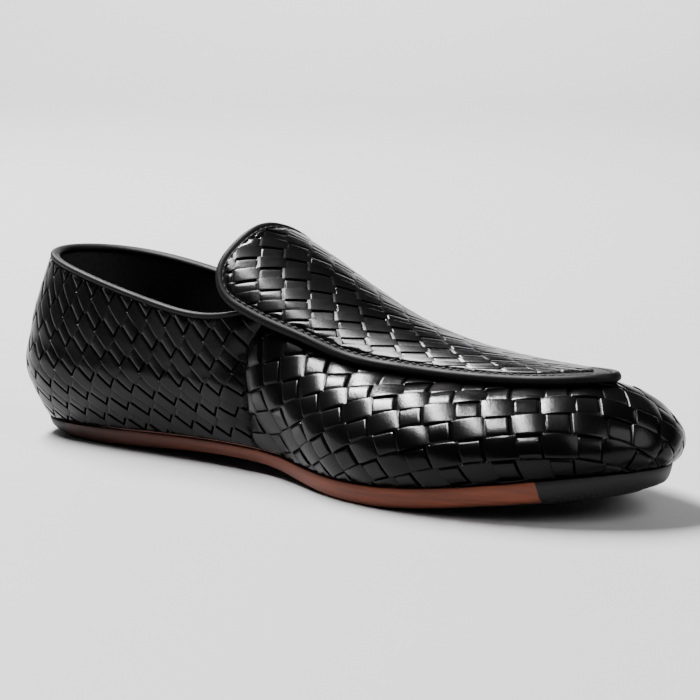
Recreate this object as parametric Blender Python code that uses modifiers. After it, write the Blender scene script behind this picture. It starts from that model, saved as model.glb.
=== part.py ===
"""Woven leather slip-on shoe, left foot: outsole with two rubber tips, insole, upper, apron, bindings.

Sizes are in millimetres and become metres when a mesh is made. Length runs along +X to the toe,
the medial side is at -Y and the floor is z = 0. The upper is one wall lofted through five rings
(feather edge, belly, crown, shoulder, top edge), each worked out from the rows of the station table.
"""
import bpy
import bmesh
import numpy as np

MM = 0.001

# Station rows from heel to toe: plan half widths of the feather edge, sole heights, wall sections
STATION_COLUMNS = ("x", "y_med", "y_lat", "sole_top", "sole_low", "undercut", "bulge", "belly_h", "crown",
                   "mid_in", "mid_h", "top_in", "top_h", "lean_lat")
STATIONS = {
    "heel_back":   (10.0, 0.0, 0.0, 6.0, 1.6, 3.4, 8.5, 18.0, 0.6, 3.5, 42.0, 6.5, 60.5, 0.0),
    "heel_corner": (18.6, -17.6, 17.6, 6.0, 1.2, 3.4, 8.0, 18.0, 0.6, 3.5, 41.0, 6.0, 59.5, 0.0),
    "heel_side":   (44.0, -25.0, 25.5, 6.2, 0.6, 2.4, 7.6, 17.0, 0.5, 2.0, 37.5, 3.8, 55.5, 0.5),
    "rear_waist":  (85.0, -25.5, 30.5, 7.6, 2.6, 1.6, 6.0, 17.0, 0.4, 0.8, 32.0, 1.6, 46.5, 3.0),
    "throat":      (116.0, -26.0, 34.5, 8.2, 3.8, 1.4, 5.0, 17.0, 0.4, 0.4, 30.0, 1.6, 44.0, 6.0),
    "tuck":        (129.0, -27.0, 36.4, 8.2, 3.7, 1.4, 5.0, 17.0, 0.8, 0.0, 0.0, 0.0, 0.0, 0.0),
    "seam":        (140.0, -28.5, 38.2, 8.0, 3.2, 1.4, 5.0, 17.0, 1.6, 0.0, 0.0, 0.0, 0.0, 0.0),
    "instep":      (156.0, -33.4, 42.2, 7.4, 1.8, 1.3, 4.6, 16.0, 2.8, 0.0, 0.0, 0.0, 0.0, 0.0),
    "ball_back":   (172.0, -39.5, 45.3, 6.8, 0.7, 1.2, 4.2, 15.0, 4.0, 0.0, 0.0, 0.0, 0.0, 0.0),
    "ball":        (202.0, -45.0, 46.5, 7.0, 0.5, 1.2, 3.2, 14.5, 4.8, 0.0, 0.0, 0.0, 0.0, 0.0),
    "fore":        (238.0, -39.4, 39.4, 10.8, 4.4, 1.8, 3.2, 11.6, 4.4, 0.0, 0.0, 0.0, 0.0, 0.0),
    "toe_corner":  (266.5, -25.0, 23.0, 15.1, 8.0, 3.0, 3.4, 9.1, 3.2, 0.0, 0.0, 0.0, 0.0, 0.0),
    "toe_tip":     (280.0, -2.0, -2.0, 16.6, 10.0, 3.6, 4.0, 8.2, 2.2, 0.0, 0.0, 0.0, 0.0, 0.0),
}
# Where the front stations pass under the apron: length and girth of the edge, reach inward of it
APRON_MEETS = {"tuck": (129.0, 45.0, 0.0, 9.4), "seam": (140.0, 35.2, 0.0, 9.0),
               "instep": (156.0, 31.0, 0.0, 8.0), "ball_back": (172.0, 28.3, 0.0, 8.0),
               "ball": (202.0, 21.9, 0.0, 8.0), "fore": (231.0, 17.0, 0.0, 8.0),
               "toe_corner": (254.5, 9.3, 5.6, 5.6), "toe_tip": (262.0, 0.0, 8.0, 0.0)}

# Ridge of the apron: length, height, radius of its cross section
APRON_RIDGE = ((112.0, 81.2, 33.0), (130.0, 73.1, 33.0), (150.0, 63.7, 33.0), (172.0, 54.8, 33.0),
               (196.0, 48.6, 35.0), (220.0, 45.4, 39.0), (245.0, 44.0, 46.0), (268.0, 43.2, 54.0))
# Edge of the apron from tongue to toe: length, girth from the ridge
APRON_EDGE = ((112.6, 0.0), (113.4, 10.0), (114.0, 21.0), (115.2, 30.6), (119.0, 35.2), (129.0, 36.2),
              (140.0, 34.4), (154.0, 31.2), (172.0, 28.3), (193.0, 23.6), (212.0, 20.2), (231.0, 17.0),
              (244.0, 14.0), (254.5, 9.3), (260.5, 4.0), (262.0, 0.0))
APRON_SPINE = (138.0, 250.0)
APRON_AROUND = 56
APRON_RINGS = (0.0, 0.16, 0.34, 0.52, 0.7, 0.88)
SMALLEST_STRIP = 3.0
APRON_WALL = 1.4

UPPER_WALL = 2.0
VAMP_COLUMNS = 40
QUARTER_STEPS = 60
ROWS = 10
RING_LEVELS = (0.0, 0.27, 0.52, 0.78, 1.0)
TUCK_EDGE = -3.3
TUCK_TOP = -3.1
LEAN_SHARE = 0.4
RAISED_ROWS = 6
SEAM_X = 131.6
SEAM_DEPTH = 2.2
SEAM_WIDTH = 7.0
SEAM_FADE = 0.2
SEAM_TOP = 0.85
NUDGE_U = 0.5
NUDGE_V = 0.01
NUDGE_EDGE = 0.02

STRIP_RISE = 0.7
STRIP_INSET = 0.8
GAP = 0.3

SOLE_LIP = 0.5
SOLE_SLOPE = 0.45
SOLE_FACE = 1.6
SOLE_EDGE_ROUND = 4.0
SOLE_EDGE_RISE = 0.9
SOLE_STEPS = 72
SOLE_CORE = (0.45, 0.85)
SPINE_ENDS = (39.0, 244.0)
TOE_SPLIT = (262.0, 8.0)
HEEL_SPLIT = (28.0, 7.0)
SPLIT_STEPS = 12
SPLIT_BOW_AT = 45.0
BLOCK_HALF = 70.0
BLOCK_FRONT = 330.0
BLOCK_BACK = -40.0
BLOCK_LOW = -20.0
BLOCK_HIGH = 60.0

INSOLE_THICK = 2.4
INSOLE_INSET = 3.2
INSOLE_CORE = 0.6

COLLAR_ENDS = 122.0
COLLAR_SECTION = ((1.0, -1.6), (1.1, 0.2), (0.2, 1.1), (-2.2, 1.1), (-3.1, 0.2), (-3.0, -1.6),
                  (-2.35, -1.6), (-2.35, 0.35), (0.35, 0.35), (0.35, -1.6))
BINDING_SECTION = ((-2.4, 0.95), (0.2, 1.0), (1.1, 0.4), (1.4, -0.7), (1.1, -1.8), (0.2, -2.4),
                   (-2.4, -2.35), (-2.4, -1.75), (0.4, -1.75), (0.4, 0.4), (-2.4, 0.4))

ROUGHNESS = 0.45
COLOURS = {"outsole": (0.23, 0.085, 0.045), "toe_tread": (0.02, 0.02, 0.02), "heel_tread": (0.02, 0.02, 0.02),
           "insole": (0.03, 0.028, 0.026), "upper": (0.012, 0.012, 0.013),
           "collar_binding": (0.015, 0.015, 0.016), "apron": (0.013, 0.013, 0.014),
           "apron_binding": (0.015, 0.015, 0.016)}


def spline_weights(knots, where, period=None):
    """Weights that carry values at the knots to a natural, or periodic, cubic at the asked places."""
    knots = np.asarray(knots, float)
    where = np.asarray(where, float)
    count = len(knots)
    rows = np.zeros((count, count))
    loads = np.zeros((count, count))
    span = np.diff(np.append(knots, knots[0] + period)) if period else np.diff(knots)
    for i in range(count):
        if not period and i in (0, count - 1):
            rows[i, i] = 1.0
            continue
        before, after = (i - 1) % count, (i + 1) % count
        rows[i, before] += span[before]
        rows[i, i] += 2.0 * (span[before] + span[i])
        rows[i, after] += span[i]
        loads[i, before] += 6.0 / span[before]
        loads[i, i] -= 6.0 / span[before] + 6.0 / span[i]
        loads[i, after] += 6.0 / span[i]
    bends = np.linalg.solve(rows, loads)
    if period:
        where = (where - knots[0]) % period + knots[0]
    last = count - 1 if period else count - 2
    left = np.clip(np.searchsorted(knots, where, side="right") - 1, 0, last)
    right = (left + 1) % count
    width = span[left]
    ahead = where - knots[left]
    behind = width - ahead
    eye = np.eye(count)
    return (eye[left] * (behind / width)[:, None] + eye[right] * (ahead / width)[:, None]
            + bends[left] * ((behind ** 3 / width - width * behind) / 6.0)[:, None]
            + bends[right] * ((ahead ** 3 / width - width * ahead) / 6.0)[:, None])


def along(table, column, where):
    """Value of one column of a table at lengths in its first column."""
    table = np.asarray(table, float)
    where = np.asarray(where, float)
    return (spline_weights(table[:, 0], where.ravel()) @ table[:, column]).reshape(where.shape)


def station(name):
    """Row of the station table as named values."""
    return dict(zip(STATION_COLUMNS, STATIONS[name]))


def sole_height(column, x):
    """Height of the sole at length x, from a column of the station table."""
    table = np.array([(station(n)["x"], station(n)[column]) for n in STATIONS])
    return along(table, 1, x)


def apron_point(x, girth, lift=0.0):
    """Point of the apron at length x and girth from its ridge, lifted off its arc of cross section."""
    x, girth = np.broadcast_arrays(np.asarray(x, float), np.asarray(girth, float))
    radius = along(APRON_RIDGE, 2, x)
    turn = girth / radius
    height = along(APRON_RIDGE, 1, x) - radius + (radius + lift) * np.cos(turn)
    return np.stack([x, (radius + lift) * np.sin(turn), height], -1)


class Last:
    """The upper's surface: rings of stations round the foot, joined by cubics both ways."""

    def __init__(self):
        names = list(STATIONS)
        sides = [(n, -1) for n in names] + [(n, 1) for n in names[-2:0:-1]]
        plan = []
        for name, side in sides:
            row = station(name)
            plan.append((row["x"], row["y_med"] if side < 0 else row["y_lat"], row["sole_top"]))
        plan = np.array(plan)
        step = np.linalg.norm(np.roll(plan[:, :2], -1, 0) - plan[:, :2], axis=1)
        self.knots = np.concatenate([[0.0], np.cumsum(step)[:-1]])
        self.period = step.sum()
        self.sides = sides
        self.feather = plan
        outward = self.outward(self.knots)
        rings = [[], [], [], [], []]
        for i, (name, side) in enumerate(sides):
            row = station(name)
            base, out = plan[i], outward[i]
            belly = base + out * row["bulge"] + (0.0, 0.0, row["belly_h"])
            if name in APRON_MEETS:
                length, girth, back, across = APRON_MEETS[name]
                edge = apron_point(length, side * girth, TUCK_EDGE)
                top = apron_point(length - back, side * (girth - across), TUCK_TOP)
            else:
                lean = row["lean_lat"] if side > 0 else 0.0
                reach = row["bulge"] - row["mid_in"] - LEAN_SHARE * lean
                edge = base + out * reach + (0.0, 0.0, row["mid_h"])
                top_reach = reach - row["top_in"] - lean * (1.0 - LEAN_SHARE)
                top = base + out * top_reach + (0.0, 0.0, row["top_h"])
            chord = edge - belly
            inward, upward = chord @ out, chord[2]
            swell = (out * upward - np.array([0.0, 0.0, inward])) / np.hypot(inward, upward)
            crown = 0.5 * (belly + edge) + swell * row["crown"]
            for ring, place in zip(rings, (base + (0.0, 0.0, GAP), belly, crown, edge, top)):
                ring.append(place)
        self.rings = np.array(rings)

    def outward(self, u):
        """Plan direction out of the feather outline."""
        ahead = spline_weights(self.knots, u + NUDGE_U, self.period)
        behind = spline_weights(self.knots, u - NUDGE_U, self.period)
        run = (ahead - behind) @ self.feather[:, :2]
        run /= np.linalg.norm(run, axis=1)[:, None]
        return np.stack([run[:, 1], -run[:, 0], np.zeros(len(run))], 1)

    def outline(self, u):
        """Feather outline in plan, with the sole's top height."""
        return spline_weights(self.knots, u, self.period) @ self.feather

    def smooth_point(self, u, v):
        """Points of the plain loft for paired values of u round the foot and v up the wall."""
        across = spline_weights(self.knots, u, self.period)
        upward = spline_weights(RING_LEVELS, v)
        return np.einsum("ni,nk,kic->nc", across, upward, self.rings)

    def point(self, u, v):
        """Points of the upper: the loft with a soft trough down each side seam."""
        run = self.smooth_point(u + NUDGE_U, v) - self.smooth_point(u - NUDGE_U, v)
        above, below = np.minimum(v + NUDGE_V, 1.0), np.maximum(v - NUDGE_V, 0.0)
        normal = unit(np.cross(run, self.smooth_point(u, above) - self.smooth_point(u, below)))
        depth = np.zeros(len(u))
        for side in (-1, 1):
            depth += np.exp(-(((u % self.period) - self.seam(side)) / SEAM_WIDTH) ** 2)
        depth *= SEAM_DEPTH * np.clip(v / SEAM_FADE, 0.0, 1.0) * np.clip((SEAM_TOP - v) / SEAM_FADE, 0.0, 1.0)
        return self.smooth_point(u, v) - normal * depth[:, None]

    def knot(self, name, side):
        """Value of u at a station."""
        return self.knots[self.sides.index((name, side))]

    def seam(self, side):
        """Value of u at a side seam, between the stations it falls between."""
        behind, ahead = station("tuck")["x"], station("seam")["x"]
        share = (SEAM_X - behind) / (ahead - behind)
        return self.knot("tuck", side) * (1.0 - share) + self.knot("seam", side) * share


def new_object(name, points, faces, collection):
    """Mesh object from points in millimetres and face index lists, with its own material."""
    mesh = bpy.data.meshes.new(name)
    mesh.from_pydata([tuple(p) for p in np.asarray(points) * MM], [], faces)
    mesh.update()
    obj = bpy.data.objects.new(name, mesh)
    collection.objects.link(obj)
    if name in COLOURS:
        material = bpy.data.materials.new(name)
        material.use_nodes = True
        shader = material.node_tree.nodes["Principled BSDF"]
        shader.inputs["Base Color"].default_value = (*COLOURS[name], 1.0)
        shader.inputs["Roughness"].default_value = ROUGHNESS
        mesh.materials.append(material)
    return obj


def apply_modifiers(obj):
    """Replace the object's mesh by its evaluated one."""
    graph = bpy.context.evaluated_depsgraph_get()
    graph.update()
    mesh = bpy.data.meshes.new_from_object(obj.evaluated_get(graph))
    obj.modifiers.clear()
    obj.data = mesh


def thicken(obj, wall):
    """Give a sheet its wall inward of the shown face."""
    solid = obj.modifiers.new("wall", "SOLIDIFY")
    solid.thickness = wall * MM
    solid.offset = -1.0
    solid.use_even_offset = True
    apply_modifiers(obj)


def raise_strips(obj, cells):
    """Raise the woven strips: inset each listed face and lift it off the wall."""
    shape = bmesh.new()
    shape.from_mesh(obj.data)
    shape.faces.ensure_lookup_table()
    picked = [shape.faces[i] for i in cells]
    bmesh.ops.inset_individual(shape, faces=picked, thickness=STRIP_INSET * MM, depth=STRIP_RISE * MM,
                               use_even_offset=True)
    shape.to_mesh(obj.data)
    shape.free()
    obj.data.update()


def cross_fill(first, count, up):
    """Faces that close a loop whose two halves mirror each other, a strip at a time."""
    faces = []
    for i in range(count // 2):
        ring = [first + i, first + i + 1, first + (count - i - 1) % count, first + (count - i) % count]
        face = [v for k, v in enumerate(ring) if v not in ring[:k]]
        faces.append(face if up else face[::-1])
    return faces


def lofted(rings):
    """Points and faces of a closed body through rings of equal count, first ring on top."""
    count = len(rings[0])
    points = np.concatenate(rings)
    faces = cross_fill(0, count, True)
    for k in range(len(rings) - 1):
        a, b = k * count, (k + 1) * count
        faces += [[a + i, b + i, b + (i + 1) % count, a + (i + 1) % count] for i in range(count)]
    faces += cross_fill((len(rings) - 1) * count, count, False)
    return points, faces


def even_u(last, count):
    """Values of u, the same number on each side between heel back and toe tip."""
    toe = last.knot("toe_tip", -1)
    half = count // 2
    medial = np.linspace(0.0, toe, half, endpoint=False)
    lateral = np.linspace(toe, last.period, half, endpoint=False)
    return np.concatenate([medial, lateral])


def spine_mix(points, amount):
    """Move plan points toward the sole's spine."""
    target = points.copy()
    target[:, 0] = np.clip(points[:, 0], *SPINE_ENDS)
    target[:, 1] = 0.5 * (points[:, 1] + mirror_order(points)[:, 1])
    return points + (target - points) * amount


def mirror_order(points):
    """The same loop with its two halves exchanged."""
    return np.roll(points[::-1], 1, axis=0)


def make_sole(last, collection):
    """Whole sole as a loft from its top face over the edge to the underside."""
    u = even_u(last, SOLE_STEPS)
    edge = last.outline(u)
    out = last.outward(u)

    def level(reach, column, rise):
        ring = edge + out * reach
        ring[:, 2] = sole_height(column, edge[:, 0]) + rise
        return ring

    top_edge = level(SOLE_LIP, "sole_top", 0.0)
    rings = []
    for amount in SOLE_CORE[::-1]:
        ring = spine_mix(top_edge, amount)
        ring[:, 2] = sole_height("sole_top", ring[:, 0])
        rings.append(ring)
    rings.append(top_edge)
    undercut = sole_height("undercut", edge[:, 0])[:, None]
    rings.append(level(SOLE_LIP - SOLE_SLOPE * undercut, "sole_low", SOLE_FACE))
    rings.append(level(-undercut, "sole_low", 0.0))
    inner = level(-undercut - SOLE_EDGE_ROUND, "sole_low", -SOLE_EDGE_RISE)
    rings.append(inner)
    for amount in SOLE_CORE:
        ring = spine_mix(inner, amount)
        ring[:, 2] = sole_height("sole_low", ring[:, 0]) - SOLE_EDGE_RISE
        rings.append(ring)
    for ring in rings[len(SOLE_CORE) + 1:]:
        ring[:, 2] = np.maximum(ring[:, 2], 0.0)
    points, faces = lofted(rings)
    return new_object("outsole", points, faces, collection)


def split_block(name, at, bow, forward, grow, collection):
    """Block that takes one end of the sole, its face bowed like the end of a tread."""
    side = np.linspace(-BLOCK_HALF, BLOCK_HALF, SPLIT_STEPS + 1)
    away = -1.0 if forward else 1.0
    face_x = at + away * (bow * (side / SPLIT_BOW_AT) ** 2 + grow)
    far_x = np.full_like(side, BLOCK_FRONT if forward else BLOCK_BACK)
    loops = []
    for z in (BLOCK_LOW, BLOCK_HIGH):
        loops.append(np.stack([face_x, side, np.full_like(side, z)], 1))
        loops.append(np.stack([far_x, side, np.full_like(side, z)], 1))
    points = np.concatenate(loops)
    n = len(side)
    faces = []
    for i in range(n - 1):
        quad = [i, i + 1, n + i + 1, n + i]
        faces.append(quad)
        faces.append([v + 2 * n for v in quad[::-1]])
        faces.append([i + 1, i, 2 * n + i, 2 * n + i + 1])
        faces.append([n + i, n + i + 1, 3 * n + i + 1, 3 * n + i])
    faces.append([0, n, 3 * n, 2 * n])
    faces.append([n - 1, 3 * n - 1, 4 * n - 1, 2 * n - 1])
    block = new_object(name, points, faces, collection)
    shape = bmesh.new()
    shape.from_mesh(block.data)
    bmesh.ops.recalc_face_normals(shape, faces=shape.faces[:])
    shape.to_mesh(block.data)
    shape.free()
    block.hide_render = True
    block.display_type = "WIRE"
    return block


def cut(obj, other, operation):
    """Exact Boolean of an object with a cutter."""
    step = obj.modifiers.new("cut", "BOOLEAN")
    step.operation = operation
    step.solver = "EXACT"
    step.object = other
    apply_modifiers(obj)


def copy_of(obj, name, collection):
    """Copy of a mesh object under a new name and colour."""
    points = np.array([v.co for v in obj.data.vertices]) / MM
    faces = [list(p.vertices) for p in obj.data.polygons]
    return new_object(name, points, faces, collection)


def make_insole(last, collection):
    """Insole on the sole's top, inside the upper's wall."""
    u = even_u(last, SOLE_STEPS // 2)
    edge = last.outline(u)
    out = last.outward(u)
    rings = []
    for rise, order in ((GAP + INSOLE_THICK, -1), (GAP, 1)):
        rim = edge - out * INSOLE_INSET
        rim[:, 2] = sole_height("sole_top", edge[:, 0]) + rise
        core = spine_mix(rim, INSOLE_CORE)
        core[:, 2] = sole_height("sole_top", core[:, 0]) + rise
        rings += [rim, core][::order]
    points, faces = lofted(rings)
    return new_object("insole", points, faces, collection)


def make_upper(last, collection):
    """Upper as one wall: square weave on the vamp, weave on the bias on the quarter."""
    first, second = last.seam(-1), last.seam(1)
    vamp_u = np.linspace(first, second, VAMP_COLUMNS + 1)
    quarter_u = np.linspace(second, last.period + first, QUARTER_STEPS + 1)
    keys, index = [], {}

    def vertex(zone, i, j):
        if zone == "quarter" and i in (0, QUARTER_STEPS):
            zone, i = "vamp", VAMP_COLUMNS if i == 0 else 0
        if (zone, i, j) not in index:
            index[(zone, i, j)] = len(keys)
            keys.append((vamp_u[i] if zone == "vamp" else quarter_u[i], j / ROWS))
        return index[(zone, i, j)]

    faces, raised = [], []
    for i in range(VAMP_COLUMNS):
        for j in range(ROWS):
            if (i + j) % 2 == 0 and 0 < j <= RAISED_ROWS:
                raised.append(len(faces))
            faces.append([vertex("vamp", i, j), vertex("vamp", i + 1, j),
                          vertex("vamp", i + 1, j + 1), vertex("vamp", i, j + 1)])
    for i in range(QUARTER_STEPS + 1):
        for j in range(ROWS + 1):
            if (i + j) % 2 == 0:
                continue
            ring = [(i, j - 1), (i + 1, j), (i, j + 1), (i - 1, j)]
            inside = [(a, b) for a, b in ring if 0 <= a <= QUARTER_STEPS and 0 <= b <= ROWS]
            if len(inside) < 4:
                spot = ring.index(next(c for c in ring if c not in inside))
                ring[spot] = (i, j)
            elif i % 2 and 1 < i < QUARTER_STEPS - 1:
                raised.append(len(faces))
            faces.append([vertex("quarter", a, b) for a, b in ring])
    keys = np.array(keys)
    points = last.point(keys[:, 0], keys[:, 1])
    upper = new_object("upper", points, faces, collection)
    thicken(upper, UPPER_WALL)
    count = len(points)
    for k in np.flatnonzero(keys[:, 1] == 0.0):
        out = last.outward(keys[k:k + 1, 0])[0]
        upper.data.vertices[int(k) + count].co = (points[k] - out * UPPER_WALL) * MM
    raise_strips(upper, raised)
    return upper


def sweep(name, centre, axis_a, axis_b, section, closed, collection):
    """Body of one section carried along a path with a frame at each step."""
    section = np.array(section)
    steps, sides = len(centre), len(section)
    points = (centre[:, None] + section[None, :, :1] * axis_a[:, None]
              + section[None, :, 1:] * axis_b[:, None]).reshape(-1, 3)
    faces = []
    for i in range(steps if closed else steps - 1):
        a, b = i * sides, ((i + 1) % steps) * sides
        faces += [[a + k, b + k, b + (k + 1) % sides, a + (k + 1) % sides] for k in range(sides)]
    if not closed:
        faces.append(list(range(sides)))
        faces.append([(steps - 1) * sides + k for k in reversed(range(sides))])
    obj = new_object(name, points, faces, collection)
    shape = bmesh.new()
    shape.from_mesh(obj.data)
    bmesh.ops.recalc_face_normals(shape, faces=shape.faces[:])
    shape.to_mesh(obj.data)
    shape.free()
    return obj


def unit(vectors):
    """Vectors at length one."""
    return vectors / np.linalg.norm(vectors, axis=1)[:, None]


def make_collar_binding(last, collection):
    """Rolled binding over the collar edge, from under the tongue round the heel and back."""
    first, second = last.seam(-1), last.seam(1)
    u = np.linspace(second, last.period + first, QUARTER_STEPS + 1)
    top = last.point(u, np.ones_like(u))
    u = u[top[:, 0] < COLLAR_ENDS]
    top = last.point(u, np.ones_like(u))
    up = unit(top - last.point(u, np.full_like(u, 1.0 - NUDGE_EDGE)))
    run = last.point(u + NUDGE_U, np.ones_like(u)) - last.point(u - NUDGE_U, np.ones_like(u))
    out = unit(np.cross(run, up))
    return sweep("collar_binding", top, out, up, COLLAR_SECTION, False, collection)


def apron_loop(count):
    """Edge of the apron as length and girth, tongue to toe on the medial side and back."""
    table = np.array(APRON_EDGE)
    run = np.concatenate([[0.0], np.cumsum(np.linalg.norm(np.diff(table, axis=0), axis=1))])
    whole = np.concatenate([table * (1.0, -1.0), table[-2:0:-1]])
    knots = np.concatenate([run, run[-1] + np.cumsum(np.diff(run)[::-1])[:-1]])
    where = np.linspace(0.0, 2.0 * run[-1], count, endpoint=False)
    return spline_weights(knots, where, 2.0 * run[-1]) @ whole


def make_apron(collection):
    """Apron with its tongue: one sheet with strips raised on the bias."""
    edge = apron_loop(APRON_AROUND)
    spine = np.stack([np.clip(edge[:, 0], *APRON_SPINE), np.zeros(len(edge))], 1)
    rings = [edge + (spine - edge) * amount for amount in APRON_RINGS]
    flat = np.concatenate(rings)
    points = apron_point(flat[:, 0], flat[:, 1])
    faces, raised = [], []
    count = APRON_AROUND
    for k in range(len(rings) - 1):
        for i in range(count):
            a, b = k * count, (k + 1) * count
            face = [a + i, a + (i + 1) % count, b + (i + 1) % count, b + i]
            corner = points[face]
            shortest = np.linalg.norm(np.roll(corner, -1, 0) - corner, axis=1).min()
            if (i + k) % 2 == 0 and k > 0 and shortest > SMALLEST_STRIP:
                raised.append(len(faces))
            faces.append(face)
    faces += cross_fill((len(rings) - 1) * count, count, True)
    apron = new_object("apron", points, faces, collection)
    thicken(apron, APRON_WALL)
    raise_strips(apron, raised)
    return apron


def make_apron_binding(collection):
    """Rolled binding that wraps the apron's whole edge."""
    edge = apron_loop(APRON_AROUND)
    centre = apron_point(edge[:, 0], edge[:, 1])
    normal = unit(apron_point(edge[:, 0], edge[:, 1], 1.0) - centre)
    slope = along(APRON_RIDGE, 1, edge[:, 0] + NUDGE_U) - along(APRON_RIDGE, 1, edge[:, 0] - NUDGE_U)
    normal = unit(normal - np.stack([slope, 0.0 * slope, 0.0 * slope], 1))
    run = unit(np.roll(centre, -1, 0) - np.roll(centre, 1, 0))
    out = unit(np.cross(run, normal))
    return sweep("apron_binding", centre, out, normal, BINDING_SECTION, True, collection)


def main():
    """Build every piece, then centre the shoe on the floor."""
    for obj in list(bpy.data.objects):
        bpy.data.objects.remove(obj, do_unlink=True)
    parts = bpy.data.collections.new("woven_slip_on_shoe")
    cutters = bpy.data.collections.new("cutters")
    bpy.context.scene.collection.children.link(parts)
    bpy.context.scene.collection.children.link(cutters)
    last = Last()
    outsole = make_sole(last, parts)
    toe = copy_of(outsole, "toe_tread", parts)
    heel = copy_of(outsole, "heel_tread", parts)
    cut(toe, split_block("toe_keep", *TOE_SPLIT, True, 0.0, cutters), "INTERSECT")
    cut(heel, split_block("heel_keep", *HEEL_SPLIT, False, 0.0, cutters), "INTERSECT")
    cut(outsole, split_block("toe_room", *TOE_SPLIT, True, GAP, cutters), "DIFFERENCE")
    cut(outsole, split_block("heel_room", *HEEL_SPLIT, False, GAP, cutters), "DIFFERENCE")
    make_insole(last, parts)
    make_upper(last, parts)
    make_collar_binding(last, parts)
    make_apron(parts)
    make_apron_binding(parts)
    corners = np.concatenate([np.array([v.co for v in o.data.vertices]) for o in parts.objects])
    shift = 0.5 * (corners.min(0) + corners.max(0))
    shift[2] = corners[:, 2].min()
    for obj in parts.objects:
        for vertex in obj.data.vertices:
            vertex.co = np.array(vertex.co) - shift
        obj.data.update()


main()
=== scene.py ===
"""Looks of a black woven leather slip-on shoe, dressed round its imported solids.

Sizes are in millimetres in the frame of the last: length runs along +X from heel to toe, the medial
side is at -Y and the floor is z = 0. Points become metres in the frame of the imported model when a
mesh is made. The upper's surface is a cubic loft through five rings of stations round the foot, and
each woven panel is a height field over that surface, worked out on a grid whose lines follow the strips.
"""
import logging
import math
from dataclasses import dataclass, field
from enum import Enum
from typing import Callable, Optional, Sequence

import bpy
import numpy as np
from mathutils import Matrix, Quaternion, Vector


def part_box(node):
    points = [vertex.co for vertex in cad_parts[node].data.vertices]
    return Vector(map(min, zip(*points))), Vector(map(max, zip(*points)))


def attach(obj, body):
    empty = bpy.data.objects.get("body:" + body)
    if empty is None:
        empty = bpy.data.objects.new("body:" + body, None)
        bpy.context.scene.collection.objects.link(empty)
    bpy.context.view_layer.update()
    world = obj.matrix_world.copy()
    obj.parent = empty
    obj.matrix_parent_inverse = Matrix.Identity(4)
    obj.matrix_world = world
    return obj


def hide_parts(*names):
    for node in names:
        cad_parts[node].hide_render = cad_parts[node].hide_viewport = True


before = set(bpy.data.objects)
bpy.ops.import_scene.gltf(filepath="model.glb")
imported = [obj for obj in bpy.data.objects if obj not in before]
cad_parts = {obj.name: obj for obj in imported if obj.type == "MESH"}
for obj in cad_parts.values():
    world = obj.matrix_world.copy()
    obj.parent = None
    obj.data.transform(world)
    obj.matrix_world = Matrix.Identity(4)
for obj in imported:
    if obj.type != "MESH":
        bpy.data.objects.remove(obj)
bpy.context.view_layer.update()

LOG = logging.getLogger("shoe")
MM = 0.001
Array = np.ndarray
Socket = bpy.types.NodeSocket
Tree = bpy.types.NodeTree

# Station rows from heel to toe: plan half widths of the feather edge, sole heights, wall sections
STATION_COLUMNS = ("x", "y_med", "y_lat", "sole_top", "sole_low", "undercut", "bulge", "belly_h", "crown",
                   "mid_in", "mid_h", "top_in", "top_h", "lean_lat")
STATIONS = {
    "heel_back":   (10.0, 0.0, 0.0, 6.0, 1.6, 3.4, 8.5, 18.0, 0.6, 3.5, 42.0, 6.5, 60.5, 0.0),
    "heel_corner": (18.6, -17.6, 17.6, 6.0, 1.2, 3.4, 8.0, 18.0, 0.6, 3.5, 41.0, 6.0, 59.5, 0.0),
    "heel_side":   (44.0, -25.0, 25.5, 6.2, 0.6, 2.4, 7.6, 17.0, 0.5, 2.0, 37.5, 3.8, 55.5, 0.5),
    "rear_waist":  (85.0, -25.5, 30.5, 7.6, 2.6, 1.6, 6.0, 17.0, 0.4, 0.8, 32.0, 1.6, 46.5, 3.0),
    "throat":      (116.0, -26.0, 34.5, 8.2, 3.8, 1.4, 5.0, 17.0, 0.4, 0.4, 30.0, 1.6, 44.0, 6.0),
    "tuck":        (129.0, -27.0, 36.4, 8.2, 3.7, 1.4, 5.0, 17.0, 0.8, 0.0, 0.0, 0.0, 0.0, 0.0),
    "seam":        (140.0, -28.5, 38.2, 8.0, 3.2, 1.4, 5.0, 17.0, 1.6, 0.0, 0.0, 0.0, 0.0, 0.0),
    "instep":      (156.0, -33.4, 42.2, 7.4, 1.8, 1.3, 4.6, 16.0, 2.8, 0.0, 0.0, 0.0, 0.0, 0.0),
    "ball_back":   (172.0, -39.5, 45.3, 6.8, 0.7, 1.2, 4.2, 15.0, 4.0, 0.0, 0.0, 0.0, 0.0, 0.0),
    "ball":        (202.0, -45.0, 46.5, 7.0, 0.5, 1.2, 3.2, 14.5, 4.8, 0.0, 0.0, 0.0, 0.0, 0.0),
    "fore":        (238.0, -39.4, 39.4, 10.8, 4.4, 1.8, 3.2, 11.6, 4.4, 0.0, 0.0, 0.0, 0.0, 0.0),
    "toe_corner":  (266.5, -25.0, 23.0, 15.1, 8.0, 3.0, 3.4, 9.1, 3.2, 0.0, 0.0, 0.0, 0.0, 0.0),
    "toe_tip":     (280.0, -2.0, -2.0, 16.6, 10.0, 3.6, 4.0, 8.2, 2.2, 0.0, 0.0, 0.0, 0.0, 0.0),
}
# Where the front stations pass under the apron: length and girth of the edge, reach inward of it
APRON_MEETS = {"tuck": (129.0, 45.0, 0.0, 9.4), "seam": (140.0, 35.2, 0.0, 9.0),
               "instep": (156.0, 31.0, 0.0, 8.0), "ball_back": (172.0, 28.3, 0.0, 8.0),
               "ball": (202.0, 21.9, 0.0, 8.0), "fore": (231.0, 17.0, 0.0, 8.0),
               "toe_corner": (254.5, 9.3, 5.6, 5.6), "toe_tip": (262.0, 0.0, 8.0, 0.0)}
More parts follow.
